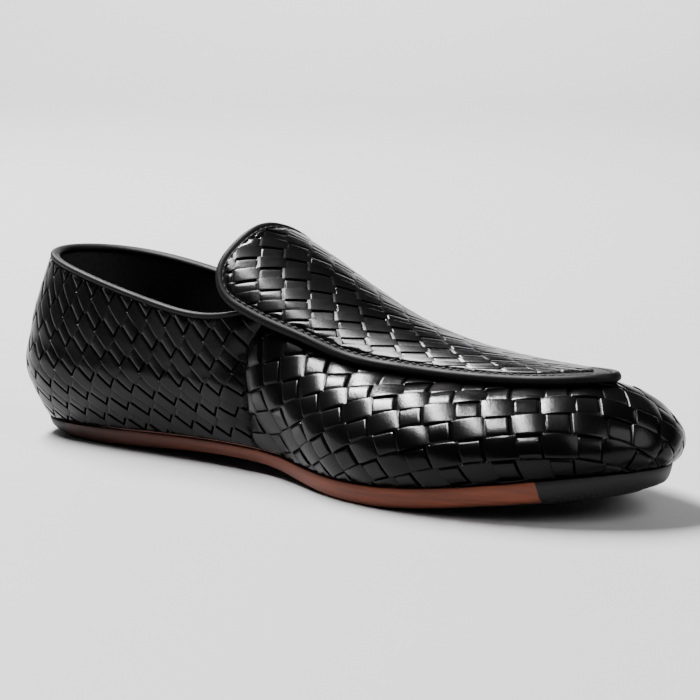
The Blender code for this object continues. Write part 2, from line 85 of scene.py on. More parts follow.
# Ridge of the apron: length, height, radius of its cross section
APRON_RIDGE = ((112.0, 81.2, 33.0), (130.0, 73.1, 33.0), (150.0, 63.7, 33.0), (172.0, 54.8, 33.0),
               (196.0, 48.6, 35.0), (220.0, 45.4, 39.0), (245.0, 44.0, 46.0), (268.0, 43.2, 54.0))
# Edge of the apron from tongue to toe: length, girth from the ridge
APRON_EDGE = ((112.6, 0.0), (113.4, 10.0), (114.0, 21.0), (115.2, 30.6), (119.0, 35.2), (129.0, 36.2),
              (140.0, 34.4), (154.0, 31.2), (172.0, 28.3), (193.0, 23.6), (212.0, 20.2), (231.0, 17.0),
              (244.0, 14.0), (254.5, 9.3), (260.5, 4.0), (262.0, 0.0))
# Side seam between quarter and vamp: level up the wall, length
SEAM_LINE = ((0.0, 134.3), (0.1, 132.0), (0.2, 131.4), (0.3, 132.2), (0.42, 131.8), (0.55, 130.6),
             (0.65, 130.4), (0.78, 134.0), (0.87, 137.2), (1.0, 141.0))
RING_LEVELS = (0.0, 0.27, 0.52, 0.78, 1.0)
GAP = 0.3
FINE_STEPS = 400


class Side(Enum):
    """Side of the foot, with its sign along Y."""

    MEDIAL = -1
    LATERAL = 1


class Slot(Enum):
    """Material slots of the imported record."""

    SOLE = "sole_leather"
    RUBBER = "rubber"
    LINING = "lining"
    WOVEN = "woven_leather"
    BINDING = "binding_leather"


def spline_weights(knots: Sequence[float], where: Array, period: Optional[float] = None) -> Array:
    """Weights of a natural or periodic cubic through values at the knots.

    The second derivatives at the knots solve the usual three-term system; a place between two knots
    then mixes their values and second derivatives.

    Args:
        knots: rising places of the values.
        where: places asked for.
        period: length after which the cubic repeats, if it is closed.

    Returns:
        Matrix of one row a place and one column a knot.
    """
    knots = np.asarray(knots, float)
    where = np.asarray(where, float)
    count = len(knots)
    rows = np.zeros((count, count))
    loads = np.zeros((count, count))
    span = np.diff(np.append(knots, knots[0] + period)) if period else np.diff(knots)
    for i in range(count):
        if not period and i in (0, count - 1):
            rows[i, i] = 1.0
            continue
        before, after = (i - 1) % count, (i + 1) % count
        rows[i, before] += span[before]
        rows[i, i] += 2.0 * (span[before] + span[i])
        rows[i, after] += span[i]
        loads[i, before] += 6.0 / span[before]
        loads[i, i] -= 6.0 / span[before] + 6.0 / span[i]
        loads[i, after] += 6.0 / span[i]
    bends = np.linalg.solve(rows, loads)
    if period:
        where = (where - knots[0]) % period + knots[0]
    last = count - 1 if period else count - 2
    left = np.clip(np.searchsorted(knots, where, side="right") - 1, 0, last)
    right = (left + 1) % count
    width = span[left]
    ahead = where - knots[left]
    behind = width - ahead
    eye = np.eye(count)
    return (eye[left] * (behind / width)[:, None] + eye[right] * (ahead / width)[:, None]
            + bends[left] * ((behind ** 3 / width - width * behind) / 6.0)[:, None]
            + bends[right] * ((ahead ** 3 / width - width * ahead) / 6.0)[:, None])


def along(table: Sequence[Sequence[float]], column: int, where: Array) -> Array:
    """Cubic through one column of a table, read at lengths in its first column.

    Args:
        table: rows of numbers, rising in the first column.
        column: column to read.
        where: lengths asked for.

    Returns:
        Values in the shape of where.
    """
    rows = np.asarray(table, float)
    places = np.asarray(where, float)
    return (spline_weights(rows[:, 0], places.ravel()) @ rows[:, column]).reshape(places.shape)


def unit(vectors: Array) -> Array:
    """Vectors at length one."""
    return vectors / np.maximum(np.linalg.norm(vectors, axis=-1, keepdims=True), 1e-9)


def ease(value: Array) -> Array:
    """Smooth step of a value clipped to 0..1."""
    value = np.clip(value, 0.0, 1.0)
    return value * value * (3.0 - 2.0 * value)


def chance(first: Array, second: Array, seed: float) -> Array:
    """Fixed pseudo-random numbers from 0 to 1 for pairs of whole numbers."""
    return np.mod(np.sin(first * 12.9898 + second * 78.233 + seed * 37.719) * 43758.5453, 1.0)


def station(name: str) -> dict[str, float]:
    """Row of the station table as named values."""
    return dict(zip(STATION_COLUMNS, STATIONS[name]))


def sole_height(column: str, x: Array) -> Array:
    """Column of the station table as a cubic over length."""
    table = np.array([(station(n)["x"], station(n)[column]) for n in STATIONS])
    return along(table, 1, x)


def apron_point(x: Array, girth: Array, lift: float = 0.0) -> Array:
    """Points of the apron: arcs hung from the ridge, turned by girth over radius, raised by lift.

    Args:
        x: lengths.
        girth: distances from the ridge round the arc, medial negative.
        lift: distance off the arc.

    Returns:
        Points in the frame of the last.
    """
    x, girth = np.broadcast_arrays(np.asarray(x, float), np.asarray(girth, float))
    radius = along(APRON_RIDGE, 2, x)
    turn = girth / radius
    height = along(APRON_RIDGE, 1, x) - radius + (radius + lift) * np.cos(turn)
    return np.stack([x, (radius + lift) * np.sin(turn), height], -1)


def apron_normal(x: Array, girth: Array) -> Array:
    """Outward normals of the apron from small steps along and across it."""
    step = 0.4
    run = apron_point(x + step, girth) - apron_point(x - step, girth)
    across = apron_point(x, girth + step) - apron_point(x, girth - step)
    return unit(np.cross(run, across))


@dataclass
class Last:
    """Surface of the upper: cubic loft through rings of stations, with a trough down each side seam."""

    wall: float = 2.0
    tuck_edge: float = -3.3
    tuck_top: float = -3.1
    lean_share: float = 0.4
    seam_depth: float = 2.2
    seam_width: float = 6.0
    seam_top: float = 0.92
    seam_fade: float = 0.16
    step_u: float = 0.5
    step_v: float = 0.01
    knots: Array = field(init=False)
    period: float = field(init=False)
    sides: list = field(init=False)
    feather: Array = field(init=False)
    rings: Array = field(init=False)

    def __post_init__(self) -> None:
        """Works out the outline's knots and the five rings of the wall."""
        names = list(STATIONS)
        self.sides = [(n, Side.MEDIAL) for n in names] + [(n, Side.LATERAL) for n in names[-2:0:-1]]
        rows = [(station(n), side) for n, side in self.sides]
        self.feather = np.array([(r["x"], r["y_med"] if side is Side.MEDIAL else r["y_lat"], r["sole_top"])
                                 for r, side in rows])
        chord = np.linalg.norm(np.roll(self.feather[:, :2], -1, 0) - self.feather[:, :2], axis=1)
        self.knots = np.concatenate([[0.0], np.cumsum(chord)[:-1]])
        self.period = float(chord.sum())
        outward = self.outward(self.knots)
        self.rings = np.array([self.section(name, side, base, out) for (name, side), base, out
                               in zip(self.sides, self.feather, outward)]).transpose(1, 0, 2)

    def section(self, name: str, side: Side, base: Array, out: Array) -> list[Array]:
        """Five places up the wall at a station: feather edge, belly, crown, shoulder and top edge.

        Args:
            name: station.
            side: side of the foot.
            base: point of the feather edge.
            out: plan direction out of the foot.

        Returns:
            The five points.
        """
        row = station(name)
        up = np.array([0.0, 0.0, 1.0])
        belly = base + out * row["bulge"] + up * row["belly_h"]
        if name in APRON_MEETS:
            length, girth, back, across = APRON_MEETS[name]
            edge = apron_point(length, side.value * girth, self.tuck_edge)
            top = apron_point(length - back, side.value * (girth - across), self.tuck_top)
        else:
            lean = row["lean_lat"] if side is Side.LATERAL else 0.0
            reach = row["bulge"] - row["mid_in"] - self.lean_share * lean
            edge = base + out * reach + up * row["mid_h"]
            top_reach = reach - row["top_in"] - lean * (1.0 - self.lean_share)
            top = base + out * top_reach + up * row["top_h"]
        inward, upward = (edge - belly) @ out, (edge - belly)[2]
        swell = (out * upward - up * inward) / np.hypot(inward, upward)
        crown = 0.5 * (belly + edge) + swell * row["crown"]
        return [base + up * GAP, belly, crown, edge, top]

    def outward(self, u: Array) -> Array:
        """Plan direction out of the feather outline at u."""
        ahead = spline_weights(self.knots, u + self.step_u, self.period)
        behind = spline_weights(self.knots, u - self.step_u, self.period)
        run = unit((ahead - behind) @ self.feather[:, :2])
        return np.stack([run[:, 1], -run[:, 0], np.zeros(len(run))], 1)

    def outline(self, u: Array) -> Array:
        """Feather outline in plan, with the sole's top height."""
        return spline_weights(self.knots, u, self.period) @ self.feather

    def knot(self, name: str, side: Side) -> float:
        """Value of u at a station."""
        return float(self.knots[self.sides.index((name, side))])

    def u_at(self, x: Array, side: Side) -> Array:
        """Value of u where a side of the outline passes a length, straight between the stations."""
        names = list(STATIONS)
        places = np.array([station(n)["x"] for n in names])
        ends = {"heel_back": self.period, "toe_tip": self.knot("toe_tip", Side.MEDIAL)}
        knots = [self.knot(n, side) if (n, side) in self.sides else ends[n] for n in names]
        return np.interp(x, places, knots)

    def seam_u(self, v: Array, side: Side) -> Array:
        """Value of u along a side seam, at levels v."""
        return self.u_at(np.interp(v, *np.array(SEAM_LINE).T), side)

    def smooth_point(self, u: Array, v: Array) -> Array:
        """Points of the plain loft for paired u round the foot and v up the wall."""
        across = spline_weights(self.knots, u, self.period)
        upward = spline_weights(RING_LEVELS, v)
        return np.einsum("ni,nk,kic->nc", across, upward, self.rings, optimize=True)

    def point(self, u: Array, v: Array) -> Array:
        """Points of the upper: the loft, sunk along each seam by a bell-shaped trough."""
        depth = np.zeros(len(u))
        for side in Side:
            away = np.mod(u - self.seam_u(v, side) + 0.5 * self.period, self.period) - 0.5 * self.period
            depth += np.exp(-(away / self.seam_width) ** 2)
        depth *= self.seam_depth * ease(v / self.seam_fade) * ease((self.seam_top - v) / self.seam_fade)
        return self.smooth_point(u, v) - self.normal(u, v, self.smooth_point) * depth[:, None]

    def normal(self, u: Array, v: Array, surface: Optional[Callable[[Array, Array], Array]] = None) -> Array:
        """Outward normals from small steps in u and v.

        Args:
            u: places round the foot.
            v: levels up the wall.
            surface: gives points of u and v; the upper with its troughs if left out.

        Returns:
            Normals of length one.
        """
        surface = surface or self.point
        run = surface(u + self.step_u, v) - surface(u - self.step_u, v)
        above, below = np.minimum(v + self.step_v, 1.0), np.maximum(v - self.step_v, 0.0)
        return unit(np.cross(run, surface(u, above) - surface(u, below)))


@dataclass
class Chart:
    """Lengths on a stretch of the upper: s along a middle line, t up the wall from that line."""

    last: Last
    start: float
    end: float
    middle: float = 0.42
    steps: int = 360
    levels: int = 49
    heights: int = 121
    u: Array = field(init=False)
    s: Array = field(init=False)
    low: Array = field(init=False)
    high: Array = field(init=False)
    t_grid: Array = field(init=False)
    v_table: Array = field(init=False)

    def __post_init__(self) -> None:
        """Sums the lengths on a dense grid and turns t of v round into v of t."""
        self.u = np.linspace(self.start, self.end, self.steps)
        v = np.linspace(0.0, 1.0, self.levels)
        uu, vv = np.meshgrid(self.u, v, indexing="ij")
        points = self.last.smooth_point(uu.ravel(), vv.ravel()).reshape(self.steps, self.levels, 3)
        rise = np.linalg.norm(np.diff(points, axis=1), axis=2)
        height = np.concatenate([np.zeros((self.steps, 1)), np.cumsum(rise, axis=1)], axis=1)
        line = self.last.smooth_point(self.u, np.full(self.steps, self.middle))
        run = np.linalg.norm(np.diff(line, axis=0), axis=1)
        self.s = np.concatenate([[0.0], np.cumsum(run)])
        at_middle = np.array([np.interp(self.middle, v, row) for row in height])
        height -= at_middle[:, None]
        self.low, self.high = height[:, 0], height[:, -1]
        self.t_grid = np.linspace(height.min(), height.max(), self.heights)
        self.v_table = np.array([np.interp(self.t_grid, row, v) for row in height])

    def locate(self, s: Array, t: Array) -> tuple[Array, Array]:
        """Values of u and v at lengths s and t, read from the table by straight mixing both ways."""
        u = np.interp(s, self.s, self.u)
        across = np.clip((u - self.start) / (self.end - self.start) * (self.steps - 1), 0, self.steps - 1.001)
        upward = (t - self.t_grid[0]) / (self.t_grid[-1] - self.t_grid[0]) * (self.heights - 1)
        upward = np.clip(upward, 0, self.heights - 1.001)
        i, j = across.astype(int), upward.astype(int)
        a, b = across - i, upward - j
        table = self.v_table
        v = ((1 - a) * (1 - b) * table[i, j] + a * (1 - b) * table[i + 1, j]
             + (1 - a) * b * table[i, j + 1] + a * b * table[i + 1, j + 1])
        return u, v


@dataclass(frozen=True)
class Weave:
    """Plain weave: lying strips side by side, and upright strips with a gap, over and under in turn.

    The shares in ends and sides say how far a slit stands open at the low and high end of a raised upright,
    and where a lying strip comes out at an upright's high side and goes in at its low side. Painted shade in
    the grooves starts and fades at shares of the dive, and grid lines lie at the edges' distances from the
    strips' edges.
    """

    column: float
    upright: float
    row: float
    lift: float = 0.45
    bow: tuple[float, float] = (0.36, 0.5)
    drop: float = 0.6
    dive: float = 0.75
    ends: tuple[float, float] = (0.5, 1.0)
    sides: tuple[float, float] = (1.0, 0.35)
    soft: float = 0.08
    tilt: float = 0.09
    seed: float = 1.0
    first: tuple[float, float] = (0.0, 0.0)
    edges: tuple[float, ...] = (0.09, 0.32, 0.8, 1.5)
    side_width: float = 0.35
    uneven: float = 0.1
    groove: tuple[float, float] = (0.25, 0.6)

    def lines(self, low: Sequence[float], high: Sequence[float]) -> tuple[Array, Array]:
        """Grid lines across both kinds of strip, closest together at the edges of the strips.

        Args:
            low: lowest place along and across the lying strips.
            high: highest place along and across them.

        Returns:
            Places of the lines along and across.
        """
        half, room = 0.5 * self.upright, 0.5 * (self.column - self.upright)
        inner = [half - e for e in self.edges if e < half] + [0.0]
        outer = [half + e for e in self.edges[:3] if e < room] + [half + room]
        offsets = np.unique(np.round(np.array([sign * o for o in inner + outer for sign in (-1, 1)]), 4))
        offsets = offsets[offsets < 0.5 * self.column - 1e-6]
        first = np.arange(math.floor(low[0] / self.column) - 1, math.ceil(high[0] / self.column) + 2)
        lines_p = (first[:, None] * self.column + offsets[None, :]).ravel()
        rows = np.array([e / self.row for e in self.edges if e < 0.45 * self.row])
        shares = np.concatenate([rows, [0.5], 1.0 - rows[::-1]])
        second = np.arange(math.floor(low[1] / self.row) - 1, math.ceil(high[1] / self.row) + 2)
        lines_q = ((second[:, None] + shares[None, :]) * self.row).ravel()
        return lines_p, lines_q

    def relief(self, p: Array, q: Array) -> tuple[Array, Array, Array]:
        """Height of the strips: nearly flat, bowed a little, diving under their neighbour at both ends.

        A cell shows an upright strip where column and row are both odd or both even, and elsewhere a
        lying brick that reaches to the next raised upright on each side. Height is the lift less the bow
        times the square of the place along the strip, less the dive close to the ends and a softened side.

        Args:
            p: places along the lying strips.
            q: places across them.

        Returns:
            Height, tone of the cell from 0 to 1, and depth of the painted groove shade from 0 to 1.
        """
        row = np.floor(q / self.row)
        across = 2.0 * (q / self.row - row) - 1.0
        shift = p - self.column * np.mod(row, 2.0)
        near = np.mod(shift + self.column, 2.0 * self.column) - self.column
        upright = np.abs(near) < 0.5 * self.upright
        brick = near - np.where(near > 0.0, self.column, -self.column)
        half = self.column - 0.5 * self.upright
        end = np.where(upright, np.abs(across), np.abs(brick) / half)
        to_end = (1.0 - end) * np.where(upright, 0.5 * self.row, half)
        to_side = np.where(upright, 0.5 * self.upright - np.abs(near),
                           0.5 * self.row * (1.0 - np.abs(across)))
        share = np.where(upright, np.where(across > 0.0, self.ends[1], self.ends[0]),
                         np.where(brick < 0.0, *self.sides))
        height = self.lift - np.where(upright, *self.bow) * end ** 2
        height = height - self.drop * share * (1.0 - ease(to_end / self.dive))
        height = height - self.soft * (1.0 - ease(to_side / self.side_width))
        number = np.where(upright, np.floor((shift + self.column) / (2.0 * self.column)),
                          np.floor(shift / (2.0 * self.column)) + 0.5)
        lean_p = (chance(number, row, self.seed) - 0.5) * np.where(upright, near, brick)
        lean_q = (chance(row, number, self.seed + 3.0) - 0.5) * across * 0.5 * self.row
        height = height + self.tilt * (lean_p + lean_q)
        height = height + self.uneven * (chance(number, row, self.seed + 7.0) - 0.5)
        tone = chance(number, row, self.seed + 11.0)
        # Painted shade: the mask darkens a strip's end where it dives under its neighbour
        groove = share * (1.0 - ease((to_end - self.groove[0] * self.dive) / (self.groove[1] * self.dive)))
        return height, tone, groove


def feed(tree: Tree, made: bpy.types.Node, inputs: dict) -> None:
    """Links or sets the inputs of a node.

    Args:
        tree: tree of the node.
        made: the node.
        inputs: sockets to link and constants to set, by the input's name or number.
    """
    for label, value in inputs.items():
        if isinstance(value, Socket):
            tree.links.new(value, made.inputs[label])
        else:
            made.inputs[label].default_value = value


def node(tree: Tree, kind: str, inputs: Optional[dict] = None, **settings: object) -> bpy.types.Node:
    """Adds a shader node.

    Args:
        tree: tree to add the node to.
        kind: its type, without the common first part of the name.
        inputs: sockets to link and constants to set, by the input's name or number.
        settings: properties of the node, set first.

    Returns:
        The node.
    """
    made = tree.nodes.new("ShaderNode" + kind)
    for label, value in settings.items():
        setattr(made, label, value)
    feed(tree, made, inputs or {})
    return made


def new_material(name: str) -> tuple[bpy.types.Material, Tree, bpy.types.Node]:
    """New material with its node tree and its shader."""
    material = bpy.data.materials.new(name)
    material.use_nodes = True
    return material, material.node_tree, material.node_tree.nodes["Principled BSDF"]


def value_of(tree: Tree, label: str) -> Socket:
    """Number that a piece carries at its vertices under a label."""
    return node(tree, "Attribute", attribute_name=label).outputs["Fac"]


def grain_group() -> Tree:
    """Node group of leather grain: fine pores and soft creases on Object coordinates.

    Returns:
        Group with inputs for the scales of pores and creases, and outputs for height and a blotch mask.
    """
    name = "leather_grain"
    if name in bpy.data.node_groups:
        return bpy.data.node_groups[name]
    group = bpy.data.node_groups.new(name, "ShaderNodeTree")
    for label, way in (("Pores", "INPUT"), ("Creases", "INPUT"), ("Height", "OUTPUT"), ("Blotch", "OUTPUT")):
        group.interface.new_socket(label, in_out=way, socket_type="NodeSocketFloat")
    source = group.nodes.new("NodeGroupInput")
    sink = group.nodes.new("NodeGroupOutput")
    place = node(group, "TexCoord").outputs["Object"]
    pores = node(group, "TexVoronoi", {"Vector": place, "Scale": source.outputs["Pores"], "Smoothness": 0.6},
                 feature="SMOOTH_F1")
    creases = node(group, "TexNoise", {"Vector": place, "Scale": source.outputs["Creases"], "Detail": 4.0})
    blotch = node(group, "TexNoise", {"Vector": place, "Scale": 95.0, "Detail": 3.0})
    height = node(group, "Math", {0: pores.outputs["Distance"], 1: 0.55, 2: creases.outputs["Fac"]},
                  operation="MULTIPLY_ADD")
    feed(group, sink, {"Height": height.outputs[0], "Blotch": blotch.outputs["Fac"]})
    return group


def ramp(tree: Tree, source: Socket, low: tuple, high: tuple,
         ends: tuple[float, float] = (0.3, 0.7)) -> Socket:
    """Colour ramp between two colours.

    Args:
        tree: tree to add the ramp to.
        source: value that drives it.
        low: colour at and below the first end.
        high: colour at and above the second end.
        ends: the two ends.

    Returns:
        The ramp's colour socket.
    """
    made = node(tree, "ValToRGB", {"Fac": source})
    for stop, place, colour in zip(made.color_ramp.elements, ends, (low, high)):
        stop.position = place
        stop.color = (*colour, 1.0)
    return made.outputs["Color"]


def blend(tree: Tree, share: Socket, colour: Socket, other: tuple[float, float, float]) -> Socket:
    """Colour mixed with a constant one by a share.

    Args:
        tree: tree to add the node to.
        share: share of the constant colour.
        colour: colour at share 0.
        other: colour at share 1.

    Returns:
        The mixed colour's socket.
    """
    mix = node(tree, "Mix", {"Factor": share, "A": colour, "B": (*other, 1.0)}, data_type="RGBA")
    return mix.outputs["Result"]


def spread(tree: Tree, source: Socket, low: float, high: float,
           ends: tuple[float, float] = (0.0, 1.0)) -> Socket:
    """Value mapped from one range to another.

    Args:
        tree: tree to add the node to.
        source: value to map.
        low: result at the first end.
        high: result at the second end.
        ends: the two ends of the source.

    Returns:
        The mapped value's socket.
    """
    inputs = {"Value": source, "From Min": ends[0], "From Max": ends[1], "To Min": low, "To Max": high}
    return node(tree, "MapRange", inputs).outputs["Result"]


def bump(tree: Tree, height: Socket, strength: float, distance: float) -> Socket:
    """Normal of a bump over a height, with its share of the effect and its depth in metres."""
    inputs = {"Height": height, "Strength": strength, "Distance": distance}
    return node(tree, "Bump", inputs).outputs["Normal"]


@dataclass(frozen=True)
class Leather:
    """Dyed leather: dark colour with blotches, pores and creases, and a satin dressing on top."""

    name: str
    low: tuple[float, float, float] = (0.0012, 0.0011, 0.0012)
    high: tuple[float, float, float] = (0.0028, 0.0025, 0.0028)
    rough: tuple[float, float] = (0.17, 0.26)
    index: float = 1.205
    coat: float = 0.04
    coat_rough: float = 0.16
    pores: float = 2400.0
    creases: float = 420.0
    depth: float = 0.00016
    strength: float = 0.35
    # Colour of the painted shade in the grooves of woven pieces
    groove: tuple[float, float, float] = (0.0006, 0.0006, 0.0006)
    dull: float = 0.4
    woven: bool = False

    def material(self) -> bpy.types.Material:
        """Material of the leather, with painted shade and duller roughness in the grooves where the piece is
        woven.
        """
        material, tree, shader = new_material(self.name)
        grain = node(tree, "Group", {"Pores": self.pores, "Creases": self.creases}, node_tree=grain_group())
        blotch = grain.outputs["Blotch"]
        rough = spread(tree, blotch, *self.rough, ends=(0.3, 0.7))
        if self.woven:
            tone, groove = (value_of(tree, label) for label in ("tone", "groove"))
            colour = ramp(tree, tone, self.low, self.high, ends=(0.0, 1.0))
            # Painted shade: grooves mixed toward the groove colour
            colour = blend(tree, groove, colour, self.groove)
            dull = node(tree, "Math", {0: groove, 1: self.dull, 2: rough}, operation="MULTIPLY_ADD")
            rough = dull.outputs[0]
        else:
            colour = ramp(tree, blotch, self.low, self.high)
        normal = bump(tree, grain.outputs["Height"], self.strength, self.depth)
        feed(tree, shader, {"Base Color": colour, "Roughness": rough, "Normal": normal, "IOR": self.index,
                            "Coat Weight": self.coat, "Coat Roughness": self.coat_rough})
        return material


@dataclass(frozen=True)
class SoleLeather:
    """Brown sole leather: fibres along the edge, painted shade low on it, and painted shade toward the heel.
    """

    name: str = "sole_leather"
    pale: tuple[float, float, float] = (0.200, 0.056, 0.030)
    deep: tuple[float, float, float] = (0.120, 0.036, 0.020)
    # Painted shade: its colour, its reach toward the heel with its strength, and the levels up the edge where
    # it fades
    burnt: tuple[float, float, float] = (0.012, 0.006, 0.005)
    heel_shade: tuple[float, float, float] = (-0.10, 0.03, 0.88)
    line: tuple[float, float] = (0.12, 0.34)
    stretch: tuple[float, float, float] = (60.0, 60.0, 900.0)
    rough: tuple[float, float] = (0.42, 0.6)
    index: float = 1.3
    strength: float = 0.4
    depth: float = 0.0002

    def material(self) -> bpy.types.Material:
        """Material of the sole: stretched noise for fibres, levels for painted shade low on the edge, length
        for painted shade at the heel.
        """
        material, tree, shader = new_material(self.name)
        place = node(tree, "TexCoord").outputs["Object"]
        stretched = node(tree, "Mapping", {"Vector": place, "Scale": self.stretch}).outputs["Vector"]
        fibre = node(tree, "TexNoise", {"Vector": stretched, "Scale": 1.0, "Detail": 5.0}).outputs["Fac"]
        # Painted shade, low on the edge and toward the heel, mixed over the fibre colour
        line = spread(tree, value_of(tree, "level"), 1.0, 0.0, ends=self.line)
        length = node(tree, "SeparateXYZ", {"Vector": place}).outputs["X"]
        heel = spread(tree, length, self.heel_shade[2], 0.0, self.heel_shade[:2])
        painted_shade = node(tree, "Math", {0: line, 1: heel}, operation="MAXIMUM").outputs[0]
        colour = blend(tree, painted_shade, ramp(tree, fibre, self.deep, self.pale), self.burnt)
        feed(tree, shader, {"Base Color": colour, "IOR": self.index,
                            "Roughness": spread(tree, fibre, *self.rough),
                            "Normal": bump(tree, fibre, self.strength, self.depth)})
        return material


@dataclass(frozen=True)
class Matt:
    """Matt finish, for rubber, lining and thread: two tones of noise with a fine bump."""

    name: str
    low: tuple[float, float, float]
    high: tuple[float, float, float]
    rough: tuple[float, float] = (0.55, 0.7)
    scale: float = 700.0
    depth: float = 0.0001
    strength: float = 0.3
    index: float = 1.35

    def material(self) -> bpy.types.Material:
        """Material of the finish on Object coordinates."""
        material, tree, shader = new_material(self.name)
        place = node(tree, "TexCoord").outputs["Object"]
        noise = node(tree, "TexNoise", {"Vector": place, "Scale": self.scale, "Detail": 4.0}).outputs["Fac"]
        feed(tree, shader, {"Base Color": ramp(tree, noise, self.low, self.high), "IOR": self.index,
                            "Roughness": spread(tree, noise, *self.rough),
                            "Normal": bump(tree, noise, self.strength, self.depth)})
        return material


def grid_faces(rows: int, columns: int, closed_rows: bool = False, closed_columns: bool = False) -> Array:
    """Quads of a grid of vertices, row by row.

    Args:
        rows: number of rows.
        columns: vertices in a row.
        closed_rows: whether the last row joins the first.
        closed_columns: whether the last column joins the first.

    Returns:
        Array of four indices a face, turning from a row to the next.
    """
    i = np.arange(rows if closed_rows else rows - 1)[:, None]
    j = np.arange(columns if closed_columns else columns - 1)[None, :]
    below, beside = (i + 1) % rows, (j + 1) % columns
    quads = (i * columns + j, below * columns + j, below * columns + beside, i * columns + beside)
    return np.stack(quads, -1).reshape(-1, 4)


def fan(count: int) -> Array:
    """Quads that close a ring with an even number of points, as a fan from its first point."""
    k = np.arange(1, count - 2, 2)
    return np.stack([0 * k, k, k + 1, k + 2], 1)


def tube_faces(rows: int, columns: int, cap: Array) -> Array:
    """Quads of a tube and of both its ends.

    Args:
        rows: rings of the tube.
        columns: vertices in a ring.
        cap: quads that close one ring.

    Returns:
        Array of four indices a face, the ends facing out of the tube.
    """
    wall = grid_faces(rows, columns, closed_columns=True)
    return np.concatenate([wall, cap, cap[:, ::-1] + (rows - 1) * columns])


def new_object(name: str, points: Array, faces: Array, material: bpy.types.Material) -> bpy.types.Object:
    """Smoothly shaded object in the scene, from points in metres and faces of vertex indices."""
    mesh = bpy.data.meshes.new(name)
    mesh.from_pydata(points.tolist(), [], faces.tolist())
    mesh.polygons.foreach_set("use_smooth", np.ones(len(mesh.polygons), bool))
    mesh.materials.append(material)
    mesh.update()
    made = bpy.data.objects.new(name, mesh)
    bpy.context.scene.collection.objects.link(made)
    return made


@dataclass
class Shoe:
    """The whole shoe: the last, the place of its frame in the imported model, and the pieces made so far."""

    last: Last = field(default_factory=Last)
    origin: Array = field(init=False)
    made: list = field(default_factory=list)
    insole_inset: float = 3.2
    sole_lip: float = 0.5
    outline_steps: int = 1441

    def __post_init__(self) -> None:
        """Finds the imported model's origin from the boxes of its insole and outsole."""
        u = np.linspace(0.0, self.last.period, self.outline_steps)
        edge, out = self.last.outline(u), self.last.outward(u)
        insole = np.array(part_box("insole")) / MM
        outsole = np.array(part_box("outsole")) / MM
        rim = edge - out * self.insole_inset
        lip = edge + out * self.sole_lip
        middle_x = 0.5 * (rim[:, 0].min() + rim[:, 0].max()) - insole[:, 0].mean()
        middle_y = 0.5 * (lip[:, 1].min() + lip[:, 1].max()) - outsole[:, 1].mean()
        self.origin = np.array([middle_x, middle_y, 0.0])
        LOG.info("origin of the packed model in the last: %s mm", self.origin.round(2))

    def add(self, name: str, points: Array, faces: Array, material: bpy.types.Material, slot: Slot,
            stands_for: Sequence[str] = (), values: Optional[dict[str, Array]] = None,
            sharp: float = 50.0) -> bpy.types.Object:
        """Makes a piece of the shoe from points and quads.

        Args:
            name: name of the piece.
            points: points in millimetres in the frame of the last.
            faces: vertex indices of each face.
            material: finish.
            slot: not used.
            stands_for: CAD nodes that the piece replaces.
            values: named numbers, one a vertex.
            sharp: angle in degrees past which an edge is shaded sharp.

        Returns:
            The new object.
        """
        points = (points - self.origin) * MM
        used = np.unique(faces)
        order = np.full(len(points), -1)
        order[used] = np.arange(len(used))
        piece = new_object(name, points[used], order[faces], material)
        for label, numbers in (values or {}).items():
            layer = piece.data.attributes.new(label, "FLOAT", "POINT")
            layer.data.foreach_set("value", numbers[used].astype(np.float32))
        piece.data.set_sharp_from_angle(angle=math.radians(sharp))
        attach(piece, "root")
        if stands_for:
            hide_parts(*stands_for)
        self.made.append(piece)
        LOG.info("%s: %d faces", name, len(faces))
        return piece


Spot = tuple[Array, Array, Array, Array]


def woven_sheet(weave: Weave, reach: Sequence[Sequence[float]], place: Callable[[Array, Array], Spot],
                raise_by: float, sink: float = 0.7,
                rim: float = 1.1) -> tuple[Array, Array, dict[str, Array]]:
    """Sheet of woven strips over a surface.

    Every crossing of the weave's grid lines is carried to the surface and moved along the normal by the
    strips' height; near the panel's edge that height eases to a sunk rim, so neighbours meet.

    Args:
        weave: the weave.
        reach: lowest and highest weave coordinates of the panel.
        place: gives point, normal, inside mask and distance from the panel's edge for weave coordinates.
        raise_by: height of the weave's middle over the surface.
        sink: depth of the rim under that.
        rim: width of the rim.

    Returns:
        Points, quads and the values tone and painted groove shade.
    """
    lines_p, lines_q = weave.lines(*reach)
    p, q = (g.ravel() for g in np.meshgrid(lines_p, lines_q, indexing="ij"))
    shifted = p + weave.first[0], q + weave.first[1]
    points, normals, inside, edge = place(*shifted)
    height, tone, groove = weave.relief(p, q)
    share = ease(edge / rim)
    height = raise_by + height * share - sink * (1.0 - share)
    faces = grid_faces(len(lines_p), len(lines_q))
    corners = points[faces]
    longest = np.linalg.norm(np.roll(corners, -1, 1) - corners, axis=2).max(1)
    faces = faces[inside[faces].any(1) & (longest < 2.0 * max(weave.column, weave.row))]
    # Painted shade: the mask also darkens the sunk rim where the panel runs under its neighbours
    groove = np.maximum(groove, 1.0 - share)
    return points + normals * height[:, None], faces, {"tone": tone, "groove": groove}


